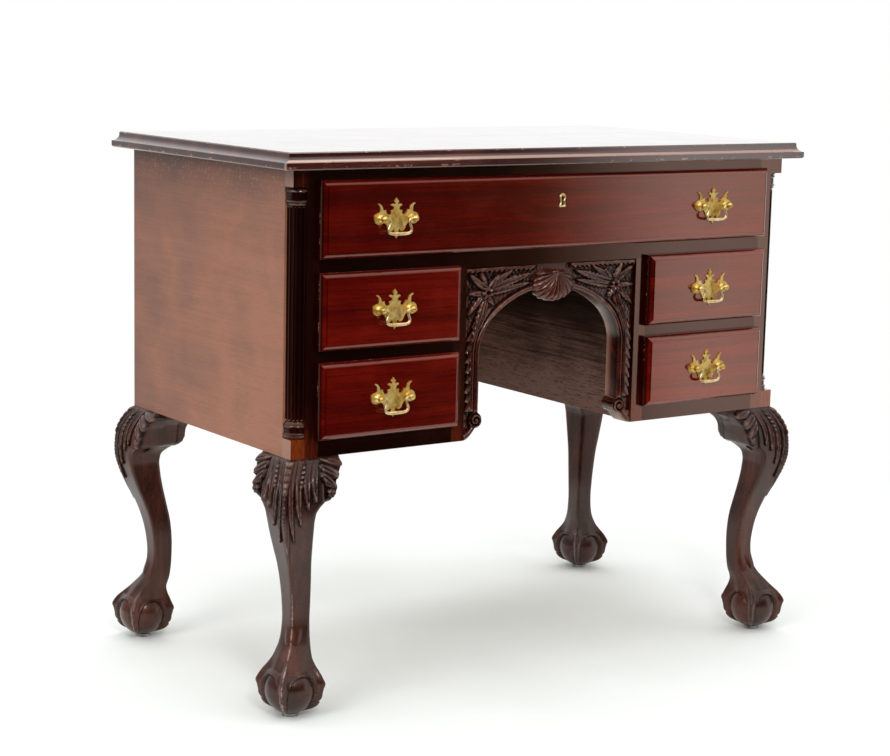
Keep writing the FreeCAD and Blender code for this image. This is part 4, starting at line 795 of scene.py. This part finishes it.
def carveShell():
    # scallop: turn about the hinge and share of the reach to an oval rim that hangs below it. It swells from
    # the rim to its middle, narrow valleys that deepen outwards part its ribs, and a button sits on the hinge
    form = shellForm
    turn = np.linspace(-form["fan"] / 2, form["fan"] / 2, form["around"])[:, None]
    share = np.linspace(0, 1, form["rings"])[None, :]
    rib = np.abs(np.cos(np.pi * form["ribs"] * (turn / form["fan"] + 0.5 + 0.5 / form["ribs"]))) ** 0.55
    a = (np.sin(turn) / form["half"]) ** 2 + (np.cos(turn) / form["tall"]) ** 2
    b = form["drop"] * np.cos(turn) / form["tall"] ** 2
    reach = (b + np.sqrt(b * b - a * ((form["drop"] / form["tall"]) ** 2 - 1))) / a * (0.945 + 0.055 * rib)
    x = reach * np.sin(turn) * share
    z = form["hinge"] - reach * np.cos(turn) * share
    off = np.clip(np.hypot(x / form["half"], (z - form["hinge"] + form["drop"]) / form["tall"]), 0, 1)
    swell = np.sqrt(np.clip(1 - off ** 2.6, 0, None))
    rise = 2.5 + (form["rise"] - 3.5) * swell - form["valley"] * (1 - rib) * np.clip(share * 1.5, 0, 1)
    rise = np.where(share > 0.995, 0.5, np.clip(rise, 0.5, None))
    face = np.stack([x, -(form["ground"] + rise), z], -1)
    rear = face[:, ::-1].copy()
    rear[..., 1] = -form["ground"] + 0.5
    points = np.concatenate([face, rear], 1)
    ends = points[[0, -1]].copy()
    ends[:, :form["rings"]] = ends[:, form["rings"]:][:, ::-1]
    points = np.concatenate([ends[:1], points, ends[1:]], 0)
    # pale rub and painted highlight on the ribs near the rim; painted shade darkens the valleys between them
    worn = 0.35 * (rib > 0.8) * np.clip(off * 2 - 0.6, 0, 1) * patchy(x, z, 8) ** 2
    worn = np.where(worn > 0.1, worn, -0.9 * np.clip(1 - rib * 1.7, 0, 1) * np.clip(share * 2, 0, 1))
    worn = np.concatenate([worn, 0 * worn], 1)
    worn = np.concatenate([worn[:1], worn, worn[-1:]], 0)
    knob = np.linspace(0, np.pi, 14)[:, None]
    spin = np.linspace(0, 2 * np.pi, 32, endpoint=False)[None, :]
    wide, deep, tall = form["button"]
    button = np.stack([wide * np.sin(knob) * np.cos(spin),
                       -(form["ground"] + 8) - deep * np.cos(knob) + 0 * spin,
                       form["hinge"] + 0.5 + tall * np.sin(knob) * np.sin(spin)], -1)
    gridPiece("carved_shell", [(points, "v", worn), (button, "v", 0.0)], carvedWood, "carcase",
              ["kneehole_shell"])


carveShell()
print("shell carved")

pullForm = {
    "rows": {"long": 679.33, "upper": 556.0, "lower": 434.67}, "across": 283.0, "face": 246.5, "thick": 1.8,
    "post": 24.7, "pivot": 257.5, "softEdge": 0.45, "softFrom": 60,  # bevel in mm, and on edges from this angle
    "plateSteps": 200, "bailSteps": 40, "postSides": 28, "nutSides": 6, "wireSides": 16,
    # right half of the plate's outline in mm from its middle, from its tip down to its drop
    "plate": ((0, 27.5), (1.5, 25.0), (3.6, 22.6), (2.2, 20.4), (1.7, 19.0), (3.6, 18.8), (5.8, 19.6),
              (7.8, 18.9), (8.8, 17.0), (7.0, 16.6), (5.2, 15.2), (4.3, 13.0), (5.0, 11.2), (7.2, 11.0),
              (9.4, 10.2), (8.6, 8.2), (8.8, 6.2), (11.0, 4.9), (13.6, 5.2), (15.6, 6.8), (16.8, 9.0),
              (17.4, 11.6), (18.8, 10.6), (20.4, 10.4), (21.8, 13.0), (23.4, 16.4), (25.6, 18.8), (28.6, 20.2),
              (30.2, 19.6), (28.2, 18.0), (26.6, 15.8), (26.3, 12.8), (26.7, 8.4), (30.4, 7.5), (33.4, 5.4),
              (35.3, 2.0), (35.3, -1.6), (33.8, -5.0), (31.0, -7.3), (27.4, -8.1), (23.2, -7.2), (19.7, -6.3),
              (17.0, -7.8), (15.0, -10.8), (13.6, -14.2), (11.4, -16.6), (8.8, -17.5), (6.6, -16.6),
              (4.8, -14.8), (3.5, -16.0), (3.2, -18.6), (4.1, -20.6), (3.0, -23.0), (1.3, -25.4), (0, -27.5)),
    # half of the bail's wire, from its pin to its lowest point, then its radius there
    "bail": ((23.6, 0, 1.5), (20.6, 0, 1.6), (18.4, 0.1, 1.7), (16.3, -1.2, 1.8), (15.4, -3.6, 1.8),
             (15.9, -7.0, 1.8), (17.6, -11.4, 1.9), (18.4, -15.0, 2.0), (17.2, -18.2, 2.1), (13.6, -19.8, 2.2),
             (7.0, -20.3, 2.4), (0, -20.5, 2.5)),
    # post: radius, then how far it stands out from the plate
    "turned": ((0, -30.2), (2.3, -30.2), (2.3, -0.3), (5.6, -0.3), (5.8, 0.5), (5.4, 1.2), (4.6, 1.5),
               (4.0, 2.0), (3.2, 2.6), (2.8, 3.6), (3.0, 4.6), (3.9, 5.8), (4.6, 7.4), (4.8, 9.2), (4.6, 10.6),
               (3.8, 12.2), (2.4, 13.4), (1.0, 13.9), (0, 14.0)),
    "nut": ((0, -26.7), (5.0, -26.7), (5.0, -29.6), (4.4, -30.3), (0, -30.3)),
}


def castPlate(name, middles):
    # back plate: its outline is a smooth curve through the points of one half and their mirror, filled and
    # thickened
    half = smoothPath(pullForm["plate"], pullForm["plateSteps"])
    outline = np.concatenate([half, half[-2:0:-1] * (-1, 1)])
    places, _, faces, *_ = geometry.delaunay_2d_cdt(
        [Vector(p) for p in outline.tolist()], [], [list(range(len(outline)))], 1, 1e-4)
    flat = np.array([tuple(p) for p in places])
    front = 0 * flat[:, 0] - pullForm["face"] - pullForm["thick"]
    sheets = [np.stack([x + flat[:, 0], front, z + flat[:, 1]], 1) for x, z in middles]
    faces = [[i + len(flat) * k for i in face] for k in range(len(middles)) for face in faces]
    mesh = bpy.data.meshes.new("cast_" + name)
    mesh.from_pydata((np.concatenate(sheets) * mm).tolist(), [], faces)
    if sum(face.normal.y for face in mesh.polygons) > 0:
        mesh.flip_normals()
    piece = placePiece("cast_" + name, mesh, brass, bodyOf[name], [name])
    thick = piece.modifiers.new("thickness", "SOLIDIFY")
    thick.thickness = pullForm["thick"] * mm
    thick.offset = -1.0
    edge = piece.modifiers.new("soft_edge", "BEVEL")
    edge.width = pullForm["softEdge"] * mm
    edge.segments = 2
    edge.limit_method = "ANGLE"
    edge.angle_limit = math.radians(pullForm["softFrom"])


def turnPosts(name, middles):
    # posts: a profile turned about a line out of the drawer, and a six-sided nut on its end inside the drawer
    sheets = []
    for x, z in middles:
        for post in (-pullForm["post"], pullForm["post"]):
            for part, sides in (("turned", "postSides"), ("nut", "nutSides")):
                turns = np.linspace(0, 2 * np.pi, pullForm[sides], endpoint=False)[None, :]
                radius, out = np.array(pullForm[part], float).T[..., None]
                sheets.append((np.stack([x + post + radius * np.cos(turns),
                                         -(pullForm["face"] + pullForm["thick"] + out) + 0 * turns,
                                         z + radius * np.sin(turns)], -1), "v", 0.0))
    gridPiece("turned_" + name, sheets, brass, bodyOf[name], [name], "tarnish")


def bendBail(name, x, z):
    # bail: a round wire of changing radius carried along a swan-neck curve in the plane of its two pins
    half = smoothPath(pullForm["bail"], pullForm["bailSteps"])
    line = np.concatenate([half, half[-2::-1] * (-1, 1, 1)])
    flow = np.gradient(line[:, :2], axis=0)
    flow = flow / np.linalg.norm(flow, axis=1, keepdims=True)
    spin = np.linspace(0, 2 * np.pi, pullForm["wireSides"], endpoint=False)[None, :]
    radius = line[:, 2:] * np.ones_like(spin)
    radius = np.concatenate([0 * radius[:1], radius, 0 * radius[:1]])
    line = np.concatenate([line[:1], line, line[-1:]])
    flow = np.concatenate([flow[:1], flow, flow[-1:]])
    points = np.stack([x + line[:, :1] + radius * np.cos(spin) * flow[:, 1:],
                       -pullForm["pivot"] + radius * np.sin(spin),
                       z + line[:, 1:2] - radius * np.cos(spin) * flow[:, :1]], -1)
    gridPiece("bent_" + name, [(points, "v", 0.0)], handledBrass, bodyOf[name], [name], "tarnish")


bodyOf = {name: body for body, names in frame["record"]["behaviour"]["bodies"].items() for name in names}
for row, height in pullForm["rows"].items():
    for sideName, sign in (("left", -1), ("right", 1)):
        bendBail(f"pull_bail_{row}_{sideName}", sign * pullForm["across"], height)
    drawers = {row: (-1, 1)} if row == "long" else {row + "_left": (-1,), row + "_right": (1,)}
    for drawer, signs in drawers.items():
        middles = [(sign * pullForm["across"], height) for sign in signs]
        castPlate("pull_plate_" + drawer, middles)
        turnPosts("pull_posts_" + drawer, middles)
print("pulls cast")

keyForm = {
    "middle": 695.3, "face": 246.5, "least": 0.1, "rise": 1.5, "sunk": 1.4, "steps": 48, "across": 12,
    # right half of both outlines in mm from the middle, from the top down
    "outer": ((0, 10.0), (3.4, 9.0), (5.5, 6.2), (5.6, 3.2), (4.6, 0.4), (4.2, -2.4), (5.2, -5.8), (5.9, -8.0),
              (4.9, -9.7), (2.5, -10.0), (0, -10.0)),
    "inner": ((0, 5.8), (1.7, 5.2), (2.6, 3.6), (2.4, 1.8), (1.6, 0.2), (1.35, -2.4), (1.7, -5.2), (1.9, -6.8),
              (1.5, -7.4), (0.8, -7.5), (0, -7.5)),
}


def castKeyhole():
    # keyhole rim: its section, a low half round, goes from the inner outline to the outer one all the way round
    outer, inner = (smoothPath(keyForm[k], keyForm["steps"]) for k in ("outer", "inner"))
    outer, inner = (np.concatenate([half, half[-2:0:-1] * (-1, 1)]) for half in (outer, inner))
    share = np.linspace(0, 1, keyForm["across"])[None, :]
    flat = inner[:, None] + (outer - inner)[:, None] * share[..., None]
    rise = keyForm["least"] + keyForm["rise"] * np.sin(np.pi * share) ** 0.6
    face = np.stack([flat[..., 0], -(keyForm["face"] + rise) + 0 * flat[..., 0],
                     keyForm["middle"] + flat[..., 1]], -1)
    rear = face[:, [-1, 0]].copy()
    rear[..., 1] = keyForm["sunk"] - keyForm["face"]
    gridPiece("cast_keyhole", [(np.concatenate([face, rear], 1), "uv", 0.0)], handledBrass,
              bodyOf["keyhole_escutcheon"], ["keyhole_escutcheon"], "tarnish")


castKeyhole()
print("keyhole rim cast")

floorSize = {"nearFade": 0.75, "farFade": 1.6, "half": 6.0, "cloud": 0.35, "stretch": (1.0, 1.35, 1.0)}


def layFloor():
    # pale plain floor that fades into the white surround, so that it keeps the shadow and has no edge
    half = floorSize["half"]
    mesh = bpy.data.meshes.new("pale_floor")
    mesh.from_pydata([(-half, -half, 0), (half, -half, 0), (half, half, 0), (-half, half, 0)], [],
                     [(0, 1, 2, 3)])
    floor = bpy.data.objects.new("pale_floor", mesh)
    bpy.context.scene.collection.objects.link(floor)
    made, tree = newMaterial("painted_concrete_floor")
    place = addNode(tree, "TexCoord").outputs["Object"]
    cloud = addNode(tree, "TexNoise", {"Scale": 1 / floorSize["cloud"], "Detail": 5.0},
                    {"Vector": place}).outputs["Fac"]
    tint = addNode(tree, "ValToRGB", {"stops": [(0.3, linear("#eaeeeb")), (0.7, linear("#f2f5f3"))]},
                   {"Fac": cloud})
    reach = addNode(tree, "Mapping", {"Scale": floorSize["stretch"]}, {"Vector": place})
    far = addNode(tree, "VectorMath", {"operation": "LENGTH"}, {0: reach}).outputs["Value"]
    fade = addNode(tree, "MapRange",
                   {"interpolation_type": "SMOOTHSTEP", "From Min": floorSize["nearFade"],
                    "From Max": floorSize["farFade"]}, {"Value": far})
    matt = addNode(tree, "BsdfDiffuse", None, {"Color": tint})
    clear = addNode(tree, "BsdfTransparent")
    mixed = addNode(tree, "MixShader", None, {0: fade, 1: matt, 2: clear})
    addNode(tree, "OutputMaterial", None, {"Surface": mixed})
    mesh.materials.append(made)


studio = {  # axis of a ray's way, the two places on it between which the room changes, and its strength at both
    "above": (2, 0.25, 0.6, 0.0, 1.1),
    "behind": (1, -0.25, 0.2, 0.0, 1.05),
    "left": (0, -0.55, -0.15, 0.38, 1.0),  # dims what is behind
    "right": (0, 0.60, 0.66, 0.02, 2.0),
    "inFront": (1, -0.2, -0.5, 0.0, 1.0),  # keeps the right to the front half of the room
    "rightEnd": (0, 0.65, 0.72, 1.0, 0.6),  # dims the far end of the right
}
lamps = {  # place in metres, size in metres, power in watts
    "window_left": ((-3.0, -1.0, 2.0), 1.8, 32.0),
    "softbox_front": ((-1.3, -3.0, 2.3), 0.8, 36.0),
    "ceiling_soft": ((0.2, 0.3, 3.0), 2.4, 30.0),
}
lampAim = (0, 0, 0.4)


def holdAt(name, held, right, up, back, place):
    # a lamp or camera stands at a place, turned so that it looks away from back
    holder = bpy.data.objects.new(name, held)
    bpy.context.scene.collection.objects.link(holder)
    turn = np.eye(4)
    turn[:3] = np.stack([right, up, back, place], 1)
    holder.matrix_world = Matrix(turn.tolist())
    return holder


def lightStudio():
    # white room: bright above, behind and in a band on the right, dim in front where the viewer stands and far
    # on the left. The camera sees plain white, and all other rays see the room. Three soft lamps stand in it
    world = bpy.data.worlds.new("white_room")
    bpy.context.scene.world = world
    world.use_nodes = True
    tree = world.node_tree
    tree.nodes.clear()
    way = addNode(tree, "TexCoord").outputs["Generated"]
    axes = addNode(tree, "SeparateXYZ", None, {0: way}).outputs
    level = {}
    for part, (axis, start, end, low, high) in studio.items():
        level[part] = addNode(tree, "MapRange",
                              {"interpolation_type": "SMOOTHSTEP", "From Min": start, "From Max": end,
                               "To Min": low, "To Max": high}, {"Value": axes[axis]})
    for part, share in (("right", "inFront"), ("right", "rightEnd"), ("behind", "left")):
        level[part] = addNode(tree, "Math", {"operation": "MULTIPLY"}, {0: level[part], 1: level[share]})
    brightest = level["above"]
    for part in ("right", "behind"):
        brightest = addNode(tree, "Math", {"operation": "MAXIMUM"}, {0: brightest, 1: level[part]})
    seen = addNode(tree, "LightPath").outputs["Is Camera Ray"]
    strength = addNode(tree, "Mix", {"data_type": "FLOAT", 3: 1.0}, {0: seen, 2: brightest})
    glow = addNode(tree, "Background", {"Color": (1, 1, 1, 1)}, {"Strength": strength})
    addNode(tree, "OutputWorld", None, {"Surface": glow})
    for name, (place, size, power) in lamps.items():
        lamp = bpy.data.lights.new(name, "AREA")
        lamp.shape = "DISK"
        lamp.size = size
        lamp.energy = power
        back = np.array(place) - np.array(lampAim)
        back = back / np.linalg.norm(back)
        side = np.cross((0.0, 1.0, 0.01), back)
        side = side / np.linalg.norm(side)
        holdAt(name, lamp, side, np.cross(back, side), back, place).visible_camera = False


viewer = {"place": (-1.8727, -2.6565, 0.9471), "yaw": 34.818, "pitch": -9.534, "roll": 1.31, "lens": 86.795,
          "sensor": 36.0}


def setViewer():
    # camera turned by yaw about the vertical, then pitch, then roll about its own line of sight
    yaw, pitch, roll = (math.radians(viewer[k]) for k in ("yaw", "pitch", "roll"))
    ahead = np.array((math.sin(yaw) * math.cos(pitch), math.cos(yaw) * math.cos(pitch), math.sin(pitch)))
    right = np.array((math.cos(yaw), -math.sin(yaw), 0.0))
    up = np.cross(right, ahead)
    turnedRight = math.cos(roll) * right + math.sin(roll) * up
    turnedUp = math.cos(roll) * up - math.sin(roll) * right
    lens = bpy.data.cameras.new("viewer")
    lens.lens = viewer["lens"]
    lens.sensor_width = viewer["sensor"]
    bpy.context.scene.camera = holdAt("viewer", lens, turnedRight, turnedUp, -ahead, viewer["place"])


layFloor()
lightStudio()
setViewer()
bpy.context.scene.view_settings.view_transform = "Standard"
print("floor, light and viewer set")
